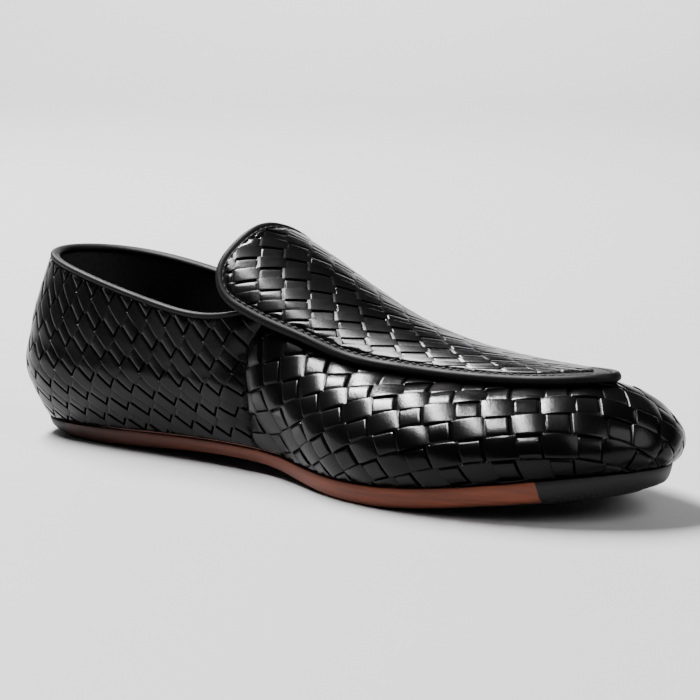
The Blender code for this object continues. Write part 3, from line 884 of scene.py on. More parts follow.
@dataclass
class Upper:
    """Vamp and quarter as two woven panels that meet in the side seams, with their lining."""

    vamp: Weave = Weave(column=9.42, upright=7.1, row=8.2, drop=0.75, dive=1.0, sides=(1.0, 0.1), tilt=0.14,
                        seed=2.0, first=(101.7, -39.5))
    quarter: Weave = Weave(column=9.2, upright=7.4, row=4.6, lift=0.45, bow=(0.1, 0.12), drop=0.8, dive=1.05,
                           ends=(1.0, 0.1), sides=(1.0, 0.1), soft=0.03, tilt=0.05, seed=5.0)
    raise_by: float = 0.25
    vamp_top: float = 0.93
    quarter_top: float = 0.985
    vamp_shear: float = 0.163
    vamp_gather: float = 0.0055
    quarter_fall: tuple[float, float] = (32.5, 48.0)
    quarter_rise: float = 57.0
    quarter_spread: tuple[float, float] = (-18.0, 26.0)
    quarter_sag: float = -0.06
    quarter_middle: float = 260.0
    quarter_pitch: tuple[float, float] = (10.83, 7.33)
    quarter_phase: tuple[float, float] = (-2.15, -1.73)
    lining_steps: tuple[int, int] = (260, 22)
    vamp_start: float = 120.0
    vamp_spare: float = 45.0
    foot_passes: int = 6
    foot_stride: int = 4
    least_stretch: float = 0.3
    least_root: float = 0.05
    quarter_start: float = 150.0
    quarter_spare: float = 24.0

    # Angle of the feather edge in the vamp's weave: station, degrees
    vamp_angles = (("tuck", -9.0), ("instep", -27.0), ("ball_back", -26.5), ("ball", -22.5), ("fore", -11.5),
                   ("toe_corner", 4.7), ("toe_tip", 45.0))

    def vamp_turn(self, last: Last, u: Array) -> Array:
        """Angle of the feather edge in the weave, in radians; the lateral side mirrors the medial one."""
        angle = dict(self.vamp_angles)
        knots = [last.knot(n, Side.MEDIAL) for n in angle]
        values = list(angle.values())
        names = [n for n in reversed(angle) if n != "toe_tip"]
        knots += [last.knot(n, Side.LATERAL) for n in names]
        values += [2.0 * angle["toe_tip"] - angle[n] for n in names]
        return np.radians(along(np.stack([knots, values], 1), 1, np.clip(u, knots[0], knots[-1])))

    def build_vamp(self, shoe: Shoe, material: bpy.types.Material) -> None:
        """Weaves the vamp: a flat sheet that turns with the feather edge, wrapped round the toe.

        A point of the flat sheet is the middle line's flat curve plus t along that curve's normal; it is
        turned back into s and t by stepping to the foot of the perpendicular. The uprights lean by the shear,
        and the sheet's height is t less the gather times its square, so the rows widen up the wall.
        """
        last = shoe.last
        first, second = (float(last.u_at(self.vamp_start, side)) for side in Side)
        chart = Chart(last, first, second)
        turn = self.vamp_turn(last, chart.u)
        step = np.diff(chart.s)
        mid = 0.5 * (turn[1:] + turn[:-1])
        curve = np.zeros((len(turn), 2))
        curve[1:] = np.cumsum(np.stack([np.cos(mid) * step, np.sin(mid) * step], 1), axis=0)
        bend = np.gradient(turn, chart.s)

        def foot(p: Array, q: Array) -> tuple[Array, Array]:
            """Values of s and t of a point on the flat sheet."""
            coarse = curve[::self.foot_stride]
            away = (p[:, None] - coarse[None, :, 0]) ** 2 + (q[:, None] - coarse[None, :, 1]) ** 2
            s = chart.s[::self.foot_stride][np.argmin(away, axis=1)]
            for _ in range(self.foot_passes):
                angle = np.interp(s, chart.s, turn)
                dp = p - np.interp(s, chart.s, curve[:, 0])
                dq = q - np.interp(s, chart.s, curve[:, 1])
                t = -dp * np.sin(angle) + dq * np.cos(angle)
                slip = dp * np.cos(angle) + dq * np.sin(angle)
                stretch = np.maximum(1.0 - np.interp(s, chart.s, bend) * t, self.least_stretch)
                s = np.clip(s + slip / stretch, 0.0, chart.s[-1])
            return s, t

        def place(p: Array, q: Array) -> Spot:
            """Place on the vamp of weave coordinates, as woven_sheet asks for it."""
            s, flat = foot(p - self.vamp_shear * q, q)
            root = np.sqrt(np.maximum(1.0 - 4.0 * self.vamp_gather * flat, self.least_root))
            t = (1.0 - root) / (2.0 * self.vamp_gather)
            low = np.interp(s, chart.s, chart.low)
            _, limit = chart.locate(s, np.interp(s, chart.s, chart.high))
            u, v = chart.locate(s, np.maximum(t, low))
            start, end = last.seam_u(v, Side.MEDIAL), last.seam_u(v, Side.LATERAL)
            inside = (t > low) & (v < self.vamp_top * limit) & (u > start) & (u < end)
            edge = np.minimum(np.minimum(t - low, u - start), end - u)
            u, v = np.clip(u, start, end), np.minimum(v, self.vamp_top)
            return last.point(u, v), last.normal(u, v), inside, edge

        reach = (curve.min(0) - self.vamp_spare - self.vamp.first,
                 curve.max(0) + self.vamp_spare - self.vamp.first)
        points, faces, values = woven_sheet(self.vamp, reach, place, self.raise_by)
        shoe.add("vamp_weave", points, faces, material, Slot.WOVEN, ["upper"], values)

    def build_quarter(self, shoe: Shoe, material: bpy.types.Material) -> None:
        """Weaves the quarter on the bias: lying strips fall toward the toe, steeper near the collar.

        With h the height over a slowly sagging line, rows are s plus the sum over h of the cotangent of the
        fall, and columns are s less that of the rise; both are turned back by reading h from their
        difference.
        """
        last = shoe.last
        start = last.u_at(self.quarter_start, Side.LATERAL)
        end = last.period + last.u_at(self.quarter_start, Side.MEDIAL)
        chart = Chart(last, float(start), float(end))
        spare = self.quarter_spare
        t_fine = np.linspace(chart.t_grid[0] - spare, chart.t_grid[-1] + spare, FINE_STEPS)
        share = ease((t_fine - self.quarter_spread[0]) / (self.quarter_spread[1] - self.quarter_spread[0]))
        fall = np.radians(self.quarter_fall[0] + share * (self.quarter_fall[1] - self.quarter_fall[0]))
        row_sum = np.cumsum(1.0 / np.tan(fall)) * (t_fine[1] - t_fine[0])
        row_sum -= np.interp(0.0, t_fine, row_sum)
        column_sum = t_fine / math.tan(math.radians(self.quarter_rise))

        def place(p: Array, q: Array) -> Spot:
            """Place on the quarter of weave coordinates, as woven_sheet asks for it."""
            columns = self.quarter_pitch[0] * (p / self.quarter.column + self.quarter_phase[0])
            rows = self.quarter_pitch[1] * (q / self.quarter.row + self.quarter_phase[1])
            level = np.interp(rows - columns, row_sum + column_sum, t_fine)
            s = rows - np.interp(level, t_fine, row_sum) + self.quarter_middle
            t = level - self.quarter_sag * (s - self.quarter_middle)
            low = np.interp(s, chart.s, chart.low)
            u, v = chart.locate(s, np.maximum(t, low))
            first = last.seam_u(v, Side.LATERAL)
            second = last.seam_u(v, Side.MEDIAL) + last.period
            inside = (t > low) & (v < self.quarter_top) & (u > first) & (u < second)
            edge = np.minimum(np.minimum(t - low, u - first), second - u)
            edge = np.minimum(edge, np.interp(s, chart.s, chart.high) - t)
            u, v = np.clip(u, first, second), np.minimum(v, self.quarter_top)
            return last.point(u, v), last.normal(u, v), inside, edge

        ends = np.array([0.0, chart.s[-1]])[:, None] - self.quarter_middle
        rows = (ends + row_sum[[0, -1]]) / self.quarter_pitch[1] - self.quarter_phase[1]
        columns = (ends - column_sum[[0, -1]]) / self.quarter_pitch[0] - self.quarter_phase[0]
        reach = ((columns.min() * self.quarter.column, rows.min() * self.quarter.row),
                 (columns.max() * self.quarter.column, rows.max() * self.quarter.row))
        points, faces, values = woven_sheet(self.quarter, reach, place, self.raise_by)
        shoe.add("quarter_weave", points, faces, material, Slot.WOVEN, ["upper"], values)

    def build_lining(self, shoe: Shoe, material: bpy.types.Material) -> None:
        """Lines the wall: the surface and its seams moved inward by the wall's thickness, facing the foot."""
        last = shoe.last
        u = np.linspace(0.0, last.period, self.lining_steps[0], endpoint=False)
        v = np.linspace(0.0, 1.0, self.lining_steps[1])
        uu, vv = (g.ravel() for g in np.meshgrid(u, v, indexing="ij"))
        points = last.point(uu, vv) - last.normal(uu, vv) * last.wall
        faces = grid_faces(len(u), len(v), closed_rows=True)
        shoe.add("upper_lining", points, faces[:, ::-1], material, Slot.LINING, ["upper"])


def rounded(section: Sequence[Sequence[float]], count: int) -> Array:
    """Closed cubic through the corners of a section.

    Args:
        section: corners in order.
        count: points asked for.

    Returns:
        Points of the rounded section.
    """
    corners = np.array(section, float)
    chord = np.linalg.norm(np.roll(corners, -1, 0) - corners, axis=1)
    knots = np.concatenate([[0.0], np.cumsum(chord)[:-1]])
    where = np.linspace(0.0, chord.sum(), count, endpoint=False)
    return spline_weights(knots, where, float(chord.sum())) @ corners


def swept(centre: Array, out: Array, up: Array, section: Array, closed: bool) -> tuple[Array, Array]:
    """Body of a section carried along a path: centre plus its two axes times the section's coordinates.

    Args:
        centre: points of the path.
        out: first axis at each point.
        up: second axis at each point.
        section: points of the section, one set or one set a point of the path.
        closed: whether the path is a loop.

    Returns:
        Points and quads, with the ends of an open path closed.
    """
    section = np.broadcast_to(section, (len(centre), *section.shape[-2:]))
    points = centre[:, None] + section[..., :1] * out[:, None] + section[..., 1:] * up[:, None]
    rows, columns = section.shape[:2]
    if closed:
        faces = grid_faces(rows, columns, closed_rows=True, closed_columns=True)
    else:
        faces = tube_faces(rows, columns, fan(columns))
    return points.reshape(-1, 3), faces


def resample(path: Array, spacing: float) -> Array:
    """Even places round a closed path.

    Args:
        path: points of the path.
        spacing: distance wanted between places.

    Returns:
        Fractional indices of the places along the path.
    """
    ring = np.concatenate([path, path[:1]])
    run = np.concatenate([[0.0], np.cumsum(np.linalg.norm(np.diff(ring, axis=0), axis=1))])
    count = max(2, int(round(run[-1] / spacing)))
    where = np.linspace(0.0, run[-1], count, endpoint=False)
    return np.interp(where, run, np.arange(len(ring)))


def pick(values: Array, index: Array) -> Array:
    """Rows of an array at fractional indices, straight between neighbours and round the end."""
    whole = np.floor(index).astype(int)
    share = (index - whole)[:, None]
    count = len(values)
    return values[whole % count] * (1.0 - share) + values[(whole + 1) % count] * share


@dataclass
class Stitching:
    """Run of stitches: short arched threads with rounded ends, sunk a little into the leather."""

    pitch: float = 2.8
    length: float = 2.1
    radius: float = 0.26
    arch: float = 0.1
    rings: int = 6
    sides: int = 6
    nudge: float = 0.05

    def build(self, shoe: Shoe, name: str, path: Array, normal: Array, material: bpy.types.Material) -> None:
        """Sews a run round a closed path.

        Each thread is a bent spindle: its radius is a half wave along it and its middle is lifted.

        Args:
            shoe: shoe to add the piece to.
            name: name of the piece.
            path: points of the seam.
            normal: direction out of the leather at those points.
            material: finish of the thread.
        """
        index = resample(path, self.pitch)
        middle, up = pick(path, index), unit(pick(normal, index))
        run = unit(pick(path, index + self.nudge) - pick(path, index - self.nudge))
        side = np.cross(run, up)
        share = np.linspace(-1.0, 1.0, self.rings)
        swell = np.sqrt(np.maximum(1.0 - share ** 4, 0.02)) * self.radius
        lift = self.arch * (1.0 - share ** 2)
        turn = np.linspace(0.0, 2.0 * math.pi, self.sides, endpoint=False)
        centre = middle[:, None] + run[:, None] * (0.5 * self.length * share)[None, :, None]
        centre = centre + up[:, None] * lift[None, :, None]
        ring = (side[:, None, None] * (np.cos(turn)[None, :] * swell[:, None])[None, ..., None]
                + up[:, None, None] * (np.sin(turn)[None, :] * swell[:, None])[None, ..., None])
        points = (centre[:, :, None] + ring).reshape(-1, 3)
        one = tube_faces(self.rings, self.sides, fan(self.sides))
        starts = np.arange(len(index)) * self.rings * self.sides
        faces = (one[None] + starts[:, None, None]).reshape(-1, 4)
        shoe.add(name, points, faces, material, Slot.BINDING, sharp=80.0)


@dataclass
class Collar:
    """Rolled binding over the collar edge, running under the tongue's binding at both ends."""

    ends_at: float = 128.0
    steps: int = 320
    corners: int = 20
    drop: float = 0.03
    nudge: float = 0.5
    section = ((0.5, -1.0), (0.95, -0.3), (0.9, 0.45), (0.2, 0.95), (-0.8, 1.05), (-1.8, 0.9), (-2.5, 0.3),
               (-2.6, -0.6), (-2.2, -1.3), (-0.9, -1.4))

    def build(self, shoe: Shoe, material: bpy.types.Material) -> None:
        """Carries the section round the top edge of the quarter."""
        last = shoe.last
        start, end = last.u_at(self.ends_at, Side.LATERAL), last.u_at(self.ends_at, Side.MEDIAL)
        u = np.linspace(float(start), float(end) + last.period, self.steps)
        level = np.ones_like(u)
        top = last.smooth_point(u, level)
        up = unit(top - last.smooth_point(u, level - self.drop))
        run = last.smooth_point(u + self.nudge, level) - last.smooth_point(u - self.nudge, level)
        out = unit(np.cross(run, up))
        points, faces = swept(top, out, up, rounded(self.section, self.corners), False)
        shoe.add("collar_roll", points, faces, material, Slot.BINDING, ["collar_binding"])


def apron_loop(count: int) -> Array:
    """Edge of the apron as a closed cubic of length and girth, tongue to toe on the medial side and back."""
    table = np.array(APRON_EDGE)
    run = np.concatenate([[0.0], np.cumsum(np.linalg.norm(np.diff(table, axis=0), axis=1))])
    whole = np.concatenate([table * (1.0, -1.0), table[-2:0:-1]])
    knots = np.concatenate([run, run[-1] + np.cumsum(np.diff(run)[::-1])[:-1]])
    where = np.linspace(0.0, 2.0 * run[-1], count, endpoint=False)
    return spline_weights(knots, where, 2.0 * run[-1]) @ whole


@dataclass
class Apron:
    """Raised apron with its tongue: woven middle, smooth margin, rolled and stitched edge, lining."""

    weave: Weave = Weave(column=8.8, upright=7.4, row=4.8, lift=0.4, bow=(0.06, 0.08), drop=0.95, dive=1.3,
                         ends=(0.04, 1.0), sides=(0.12, 0.02), soft=0.02, tilt=0.03, seed=9.0)
    raise_by: float = 0.25
    wall: float = 1.4
    around: int = 400
    seam_inset: float = 2.1
    seam_lift: float = 0.35
    corners: int = 24
    section = ((-1.6, 0.35), (-0.7, 0.85), (0.35, 0.75), (0.98, 0.2), (1.27, -0.5), (1.3, -1.25),
               (0.9, -1.85), (0.0, -2.1), (-0.9, -2.05), (-1.8, -1.5), (-2.0, -0.5))

    # Ridge length and girth of a crossing: at the first one, then for each column and row, for their squares
    # and for their product; past the turn row they go on straight, with the far slope at least
    first = (12.2, 4.7)
    by_column = (5.8, 5.7)
    by_row = (-4.28, 4.43)
    by_column_square = (-0.13, -0.18)
    by_product = (-0.33, 0.0)
    by_row_square = (-0.11, 0.1)
    turn_row = (-2.2, -1.45)
    far_slope = 2.9
    far_soft = 1.5
    columns = (-6, 14)
    rows = (-26, 12)
    spare_rows = (-11.0, 14.0)

    # Smooth margin inside the edge: length, width; then its height, its dips at the weave and at the roll,
    # and how far it runs under the weave
    margins = ((110.0, 2.0), (140.0, 1.7), (180.0, 1.7), (215.0, 2.0), (240.0, 3.2), (256.0, 6.4),
               (270.0, 8.8))
    margin_lift = (0.42, 1.1, 0.5)
    margin_tuck = 1.2
    margin_steps = 10
    lining_steps = 14
    spine = (138.0, 250.0)

    def inset(self, distance: float | Array) -> Array:
        """Edge of the apron moved inward by a distance, as length and girth."""
        edge = apron_loop(self.around)
        ahead = np.roll(edge, -1, 0) - np.roll(edge, 1, 0)
        return edge + unit(np.stack([-ahead[:, 1], ahead[:, 0]], 1)) * distance

    def inner_loop(self, extra: float = 0.0) -> Array:
        """Edge of the weave: the apron's edge moved inward by the margin, as length and girth."""
        return self.inset((along(self.margins, 1, apron_loop(self.around)[:, 0]) + extra)[:, None])

    def crossing(self, column: Array, row: Array) -> tuple[Array, Array, Array]:
        """Ridge length and girth of a crossing of the weave.

        Args:
            column: columns, counted toward the toe.
            row: rows, counted away from the medial side.

        Returns:
            Length, girth, and rows past the turn row, after which the squares no longer grow.
        """
        turn = self.turn_row[0] + self.turn_row[1] * column
        held = np.minimum(row, turn)
        table = np.array([self.first, self.by_column, self.by_row, self.by_column_square, self.by_product,
                          self.by_row_square])
        terms = np.stack([np.ones_like(column), column, held, column ** 2, column * held, held ** 2], -1)
        slope = table[2] + column[:, None] * table[4] + 2.0 * held[:, None] * table[5]
        past = row - held
        place = terms @ table + past[:, None] * slope
        bent = past - self.far_soft * (1.0 - np.exp(-past / self.far_soft))
        girth = place[:, 1] + np.maximum(self.far_slope - slope[:, 1], 0.0) * bent
        return place[:, 0], girth, row - turn

    def build_weave(self, shoe: Shoe, material: bpy.types.Material) -> None:
        """Weaves the apron on the bias, drawn out along the ridge toward the toe."""
        x_fine = np.linspace(APRON_RIDGE[0][0], APRON_RIDGE[-1][0], FINE_STEPS)
        ridge = apron_point(x_fine, np.zeros_like(x_fine))
        run = np.concatenate([[0.0], np.cumsum(np.linalg.norm(np.diff(ridge, axis=0), axis=1))])
        loop = self.inner_loop()
        half = loop[loop[:, 1] <= 0.0]
        half = half[np.argsort(half[:, 0])]

        def place(p: Array, q: Array) -> Spot:
            """Place on the apron of weave coordinates, as woven_sheet asks for it."""
            a, b, past = self.crossing(p / self.weave.column, q / self.weave.row)
            x = np.interp(a, run, x_fine)
            back, front = half[0, 0], half[-1, 0]
            limit = -np.interp(x, half[:, 0], half[:, 1])
            inside = (a > run[0]) & (x > back) & (x < front) & (np.abs(b) < limit)
            inside &= (past > self.spare_rows[0]) & (past < self.spare_rows[1])
            edge = np.minimum(limit - np.abs(b), np.minimum(x - back, front - x))
            x = np.clip(x, back, front)
            b = np.clip(b, -limit, limit)
            return apron_point(x, b), apron_normal(x, b), inside, edge

        low, high = np.stack([self.columns, self.rows], 1) * (self.weave.column, self.weave.row)
        points, faces, values = woven_sheet(self.weave, (low, high), place, self.raise_by)
        shoe.add("apron_weave", points, faces, material, Slot.WOVEN, ["apron"], values)

    def band(self, inner: Array, lift: Array) -> tuple[Array, Array]:
        """Sheet from the apron's edge to an inner loop.

        Args:
            inner: length and girth of the inner loop.
            lift: height over the apron's surface at each step from the edge to the inner loop.

        Returns:
            Points and quads, facing up.
        """
        outer = apron_loop(self.around)
        shares = np.linspace(0.0, 1.0, len(lift))
        flat = outer[:, None] + (inner - outer)[:, None] * shares[None, :, None]
        x, b = flat[..., 0].ravel(), flat[..., 1].ravel()
        points = apron_point(x, b) + apron_normal(x, b) * np.tile(lift, self.around)[:, None]
        return points, grid_faces(self.around, len(lift), closed_rows=True)

    def build_margin(self, shoe: Shoe, material: bpy.types.Material) -> None:
        """Smooth strip between the weave and the rolled edge, dipping under both."""
        shares = np.linspace(0.0, 1.0, self.margin_steps)
        top, inner_dip, outer_dip = self.margin_lift
        lift = top - inner_dip * shares ** 6 - outer_dip * (1.0 - shares) ** 4
        points, faces = self.band(self.inner_loop(self.margin_tuck), lift)
        shoe.add("apron_margin", points, faces, material, Slot.BINDING, ["apron"])

    def build_lining(self, shoe: Shoe, material: bpy.types.Material) -> None:
        """Lining under the apron: loops drawn in to its spine, a wall's thickness below."""
        edge = apron_loop(self.around)
        spine = np.stack([np.clip(edge[:, 0], *self.spine), np.zeros(len(edge))], 1)
        points, faces = self.band(spine, np.full(self.lining_steps, -self.wall))
        shoe.add("apron_lining", points, faces[:, ::-1], material, Slot.LINING, ["apron"])

    def build_edge(self, shoe: Shoe, material: bpy.types.Material, thread: bpy.types.Material) -> None:
        """Rolled edge: the section carried round the loop, with stitches just inside it."""
        edge = apron_loop(self.around)
        centre = apron_point(edge[:, 0], edge[:, 1])
        normal = apron_normal(edge[:, 0], edge[:, 1])
        run = unit(np.roll(centre, -1, 0) - np.roll(centre, 1, 0))
        out = unit(np.cross(run, normal))
        points, faces = swept(centre, out, normal, rounded(self.section, self.corners), True)
        shoe.add("apron_roll", points, faces, material, Slot.BINDING, ["apron_binding"])
        x, b = self.inset(self.seam_inset).T
        path = apron_point(x, b, self.seam_lift)
        Stitching().build(shoe, "apron_stitches", path, apron_normal(x, b), thread)


@dataclass
class Sole:
    """Leather outsole with a rubber toe piece and heel tip, and the insole on top of it."""

    toe_split: tuple[float, float] = (256.5, 4.0)
    heel_split: tuple[float, float] = (34.0, -2.0)
    slant: float = 1.8
    slant_fade: float = 16.0
    tooth_pitch: float = 1.8
    tooth_depth: float = 0.4
    floor_drop: float = 0.9
    insole_inset: float = 3.0
    insole_thick: float = 2.6
    insole_cup: float = 1.2
    insole_across: int = 25
    steps: int = 220
    across: int = 9
    toe_steps: int = 640
    heel_steps: int = 160
    bow_power: int = 8
    search_steps: int = 2000

    # Section of the sole's edge from the top inward of the lip to the underside: share of the undercut and
    # millimetres outward, share of the thickness and millimetres upward, shares of the notch and the slant
    edge_columns = ("under", "out", "top", "up", "notch", "slant")
    edge_rows = ((0.0, -0.6, 1.0, 0.0, 0.0, 0.0), (0.0, 0.2, 1.0, 0.0, 0.0, 0.0),
                 (0.0, 0.5, 1.0, -0.35, 0.0, 0.05), (0.12, 0.5, 0.66, 0.0, 0.0, 0.35),
                 (0.28, 0.5, 0.4, 0.0, 0.0, 0.6), (0.45, 0.5, 0.0, 1.6, 0.0, 0.75),
                 (0.62, 0.5, 0.0, 0.9, 0.3, 0.9), (1.0, 0.0, 0.0, 0.0, 1.0, 1.0),
                 (1.0, -1.6, 0.0, -0.6, 0.6, 1.0), (1.0, -4.0, 0.0, -0.9, 0.0, 1.0))

    def rim(self, last: Last, u: Array, slant: Array, teeth: float = 0.0) -> Array:
        """Edge of the sole in section, each row a mix of the station heights and its own offsets.

        Args:
            last: the last.
            u: places round the outline.
            slant: distance round the outline by which the lowest row runs ahead of the top one.
            teeth: depth of the notches in the lower edge.

        Returns:
            Array of one row of section points for each place.
        """
        row = dict(zip(self.edge_columns, np.array(self.edge_rows).T[:, None, :]))
        place = u[:, None] + slant[:, None] * row["slant"]
        edge = last.outline(place.ravel()).reshape(*place.shape, 3)
        out = last.outward(place.ravel()).reshape(*place.shape, 3)
        x = edge[..., 0]
        top, low, under = (sole_height(column, x) for column in ("sole_top", "sole_low", "undercut"))
        notch = teeth * (0.5 + 0.5 * np.sin(2.0 * math.pi * u / self.tooth_pitch))[:, None]
        points = edge + out * (row["out"] - row["under"] * under)[..., None]
        height = low + (top - low) * row["top"] + row["up"] + notch * row["notch"]
        points[..., 2] = np.maximum(height, 0.0)
        return points

    def crossing(self, last: Last, side: Side, split: tuple[float, float]) -> float:
        """Value of u where a side of the outline passes the end of a split line."""
        toe = last.knot("toe_tip", Side.MEDIAL)
        first, second = (0.0, toe) if side is Side.MEDIAL else (toe, last.period)
        u = np.linspace(first, second, self.search_steps)
        return float(u[np.argmin(np.abs(last.outline(u)[:, 0] - split[0]))])

    def floor(self, x: Array) -> Array:
        """Height of the underside away from the edge."""
        return np.maximum(sole_height("sole_low", x) - self.floor_drop, 0.0)

    def build_outsole(self, shoe: Shoe, material: bpy.types.Material) -> None:
        """Outsole between the two splits: a closed section across the shoe, carried along it."""
        last = shoe.last
        rims = []
        for side in Side:
            heel, toe = self.crossing(last, side, self.heel_split), self.crossing(last, side, self.toe_split)
            u = np.linspace(heel, toe, self.steps)
            ahead = self.slant * ease(1.0 - np.abs(u - toe) / self.slant_fade) * -side.value
            rims.append(self.rim(last, u, ahead))
        medial, lateral = rims
        share = np.linspace(0.0, 1.0, self.across + 2)[1:-1]
        run = np.linspace(-1.0, 1.0, self.steps)[:, None]
        bow = (self.heel_split[1] * np.clip(-run, 0.0, 1.0) ** self.bow_power
               + self.toe_split[1] * np.clip(run, 0.0, 1.0) ** self.bow_power)
        bow = bow * 4.0 * share * (1.0 - share)
        under = medial[:, -1:] + (lateral[:, -1:] - medial[:, -1:]) * share[None, :, None]
        over = lateral[:, :1] + (medial[:, :1] - lateral[:, :1]) * share[None, :, None]
        under[..., 0] += bow
        over[..., 0] += bow
        under[..., 2] = self.floor(under[..., 0])
        over[..., 2] = sole_height("sole_top", over[..., 0])
        loop = np.concatenate([medial, under, lateral[:, ::-1], over], axis=1)
        edge = np.linspace(1.0, 0.0, len(self.edge_rows))
        level = np.concatenate([edge, np.zeros(self.across), edge[::-1], np.ones(self.across)])
        faces = tube_faces(self.steps, loop.shape[1], self.cap(loop.shape[1]))[:, ::-1]
        # The level runs down the edge and drives the painted shade low on it
        values = {"level": np.tile(level, self.steps)}
        shoe.add("leather_outsole", loop.reshape(-1, 3), faces, material, Slot.SOLE, ["outsole"], values)

    def cap(self, count: int) -> Array:
        """Quads that close a section loop: a fan at each rim and a strip between the two sheets.

        Args:
            count: points of the loop, which runs down the medial rim, across below, up the lateral rim
                and back across the top.

        Returns:
            Quads on the points of one loop.
        """
        rim = len(self.edge_rows)
        medial = fan(rim)
        top = 2 * rim + self.across - 1
        lateral = top - medial[:, [0, 3, 2, 1]]
        low = rim - 1 + np.arange(self.across + 2)
        high = np.concatenate([[0], count - 1 - np.arange(self.across), [top]])
        strip = np.stack([high[:-1], low[:-1], low[1:], high[1:]], 1)
        return np.concatenate([medial, strip, lateral])

    def build_end(self, shoe: Shoe, name: str, stands_for: str, bow: float, u: Array, slant: Array,
                  teeth: float, material: bpy.types.Material) -> None:
        """End piece of the sole beyond a split line: a closed section carried round the outline.

        Args:
            shoe: shoe to add the piece to.
            name: name of the piece.
            stands_for: CAD node that it replaces.
            bow: bow of the split line along the shoe.
            u: places round the outline, from one end of the split to the other.
            slant: lead of the lowest row over the top one.
            teeth: depth of the notches in the lower edge.
            material: finish.
        """
        rim = self.rim(shoe.last, u, slant, teeth)
        share = np.linspace(0.0, 1.0, len(u))[:, None]
        inward = np.linspace(0.0, 1.0, self.across + 1)[1:][None, :, None]

        def sheet(start: Array, height: Callable[[Array], Array]) -> Array:
            """Sheet from a row of the rim to the split line, at heights of its own length."""
            base = start[:1, :2] + (start[-1:, :2] - start[:1, :2]) * share
            base[:, 0] += bow * 4.0 * share[:, 0] * (1.0 - share[:, 0])
            plan = start[:, None, :2] + (base - start[:, :2])[:, None] * inward
            return np.concatenate([plan, height(plan[..., :1])], axis=2)

        under = sheet(rim[:, -1], self.floor)
        over = sheet(rim[:, 0], lambda x: sole_height("sole_top", x))
        loop = np.concatenate([rim, under, over[:, ::-1]], axis=1)
        faces = tube_faces(len(u), loop.shape[1], fan(len(self.edge_rows)))[:, ::-1]
        shoe.add(name, loop.reshape(-1, 3), faces, material, Slot.RUBBER, [stands_for], sharp=60.0)

    def build_treads(self, shoe: Shoe, material: bpy.types.Material) -> None:
        """Toe piece with a notched lower edge and slanted ends, and plain heel tip."""
        last = shoe.last
        first = self.crossing(last, Side.MEDIAL, self.toe_split)
        second = self.crossing(last, Side.LATERAL, self.toe_split)
        u = np.linspace(first, second, self.toe_steps)
        start, end = (ease(1.0 - away / self.slant_fade) for away in (u - first, second - u))
        slant = self.slant * (start - end)
        bow = self.toe_split[1]
        self.build_end(shoe, "toe_rubber", "toe_tread", bow, u, slant, self.tooth_depth, material)
        first = self.crossing(last, Side.LATERAL, self.heel_split)
        second = self.crossing(last, Side.MEDIAL, self.heel_split) + last.period
        u = np.linspace(first, second, self.heel_steps)
        self.build_end(shoe, "heel_rubber", "heel_tread", self.heel_split[1], u, 0.0 * u, 0.0, material)

    def build_insole(self, shoe: Shoe, material: bpy.types.Material) -> None:
        """Insole: the outline drawn in, cupped a little toward its rim."""
        last = shoe.last
        toe = last.knot("toe_tip", Side.MEDIAL)
        medial = np.linspace(0.0, toe, self.steps)
        lateral = np.linspace(last.period, toe, self.steps)
        sides = [last.outline(u) - last.outward(u) * self.insole_inset for u in (medial, lateral)]
        share = np.linspace(0.0, 1.0, self.insole_across)[None, :, None]
        points = sides[0][:, None] + (sides[1] - sides[0])[:, None] * share
        cup = self.insole_cup * (2.0 * np.abs(share[0, :, 0] - 0.5)) ** 3
        points[..., 2] = sole_height("sole_top", points[..., 0]) + GAP + self.insole_thick + cup[None, :]
        faces = grid_faces(self.steps, self.insole_across)
        shoe.add("insole_sock", points.reshape(-1, 3), faces, material, Slot.LINING, ["insole"])


@dataclass(frozen=True)
class Softbox:
    """Rectangular soft light: where it stands, what it faces, its sides in metres, watts, turn in degrees."""

    name: str
    place: tuple[float, float, float]
    target: tuple[float, float, float]
    size: tuple[float, float]
    power: float
    turn: float = 0.0

    def build(self) -> None:
        """Adds the light to the scene."""
        lamp = bpy.data.lights.new(self.name, "AREA")
        lamp.shape = "RECTANGLE"
        lamp.size, lamp.size_y = self.size
        lamp.energy = self.power
        light = bpy.data.objects.new(self.name, lamp)
        light.location = self.place
        aim = Vector(self.target) - Vector(self.place)
        spin = Quaternion((0.0, 0.0, 1.0), math.radians(self.turn))
        light.rotation_euler = (aim.to_track_quat("-Z", "Y") @ spin).to_euler()
        bpy.context.scene.collection.objects.link(light)


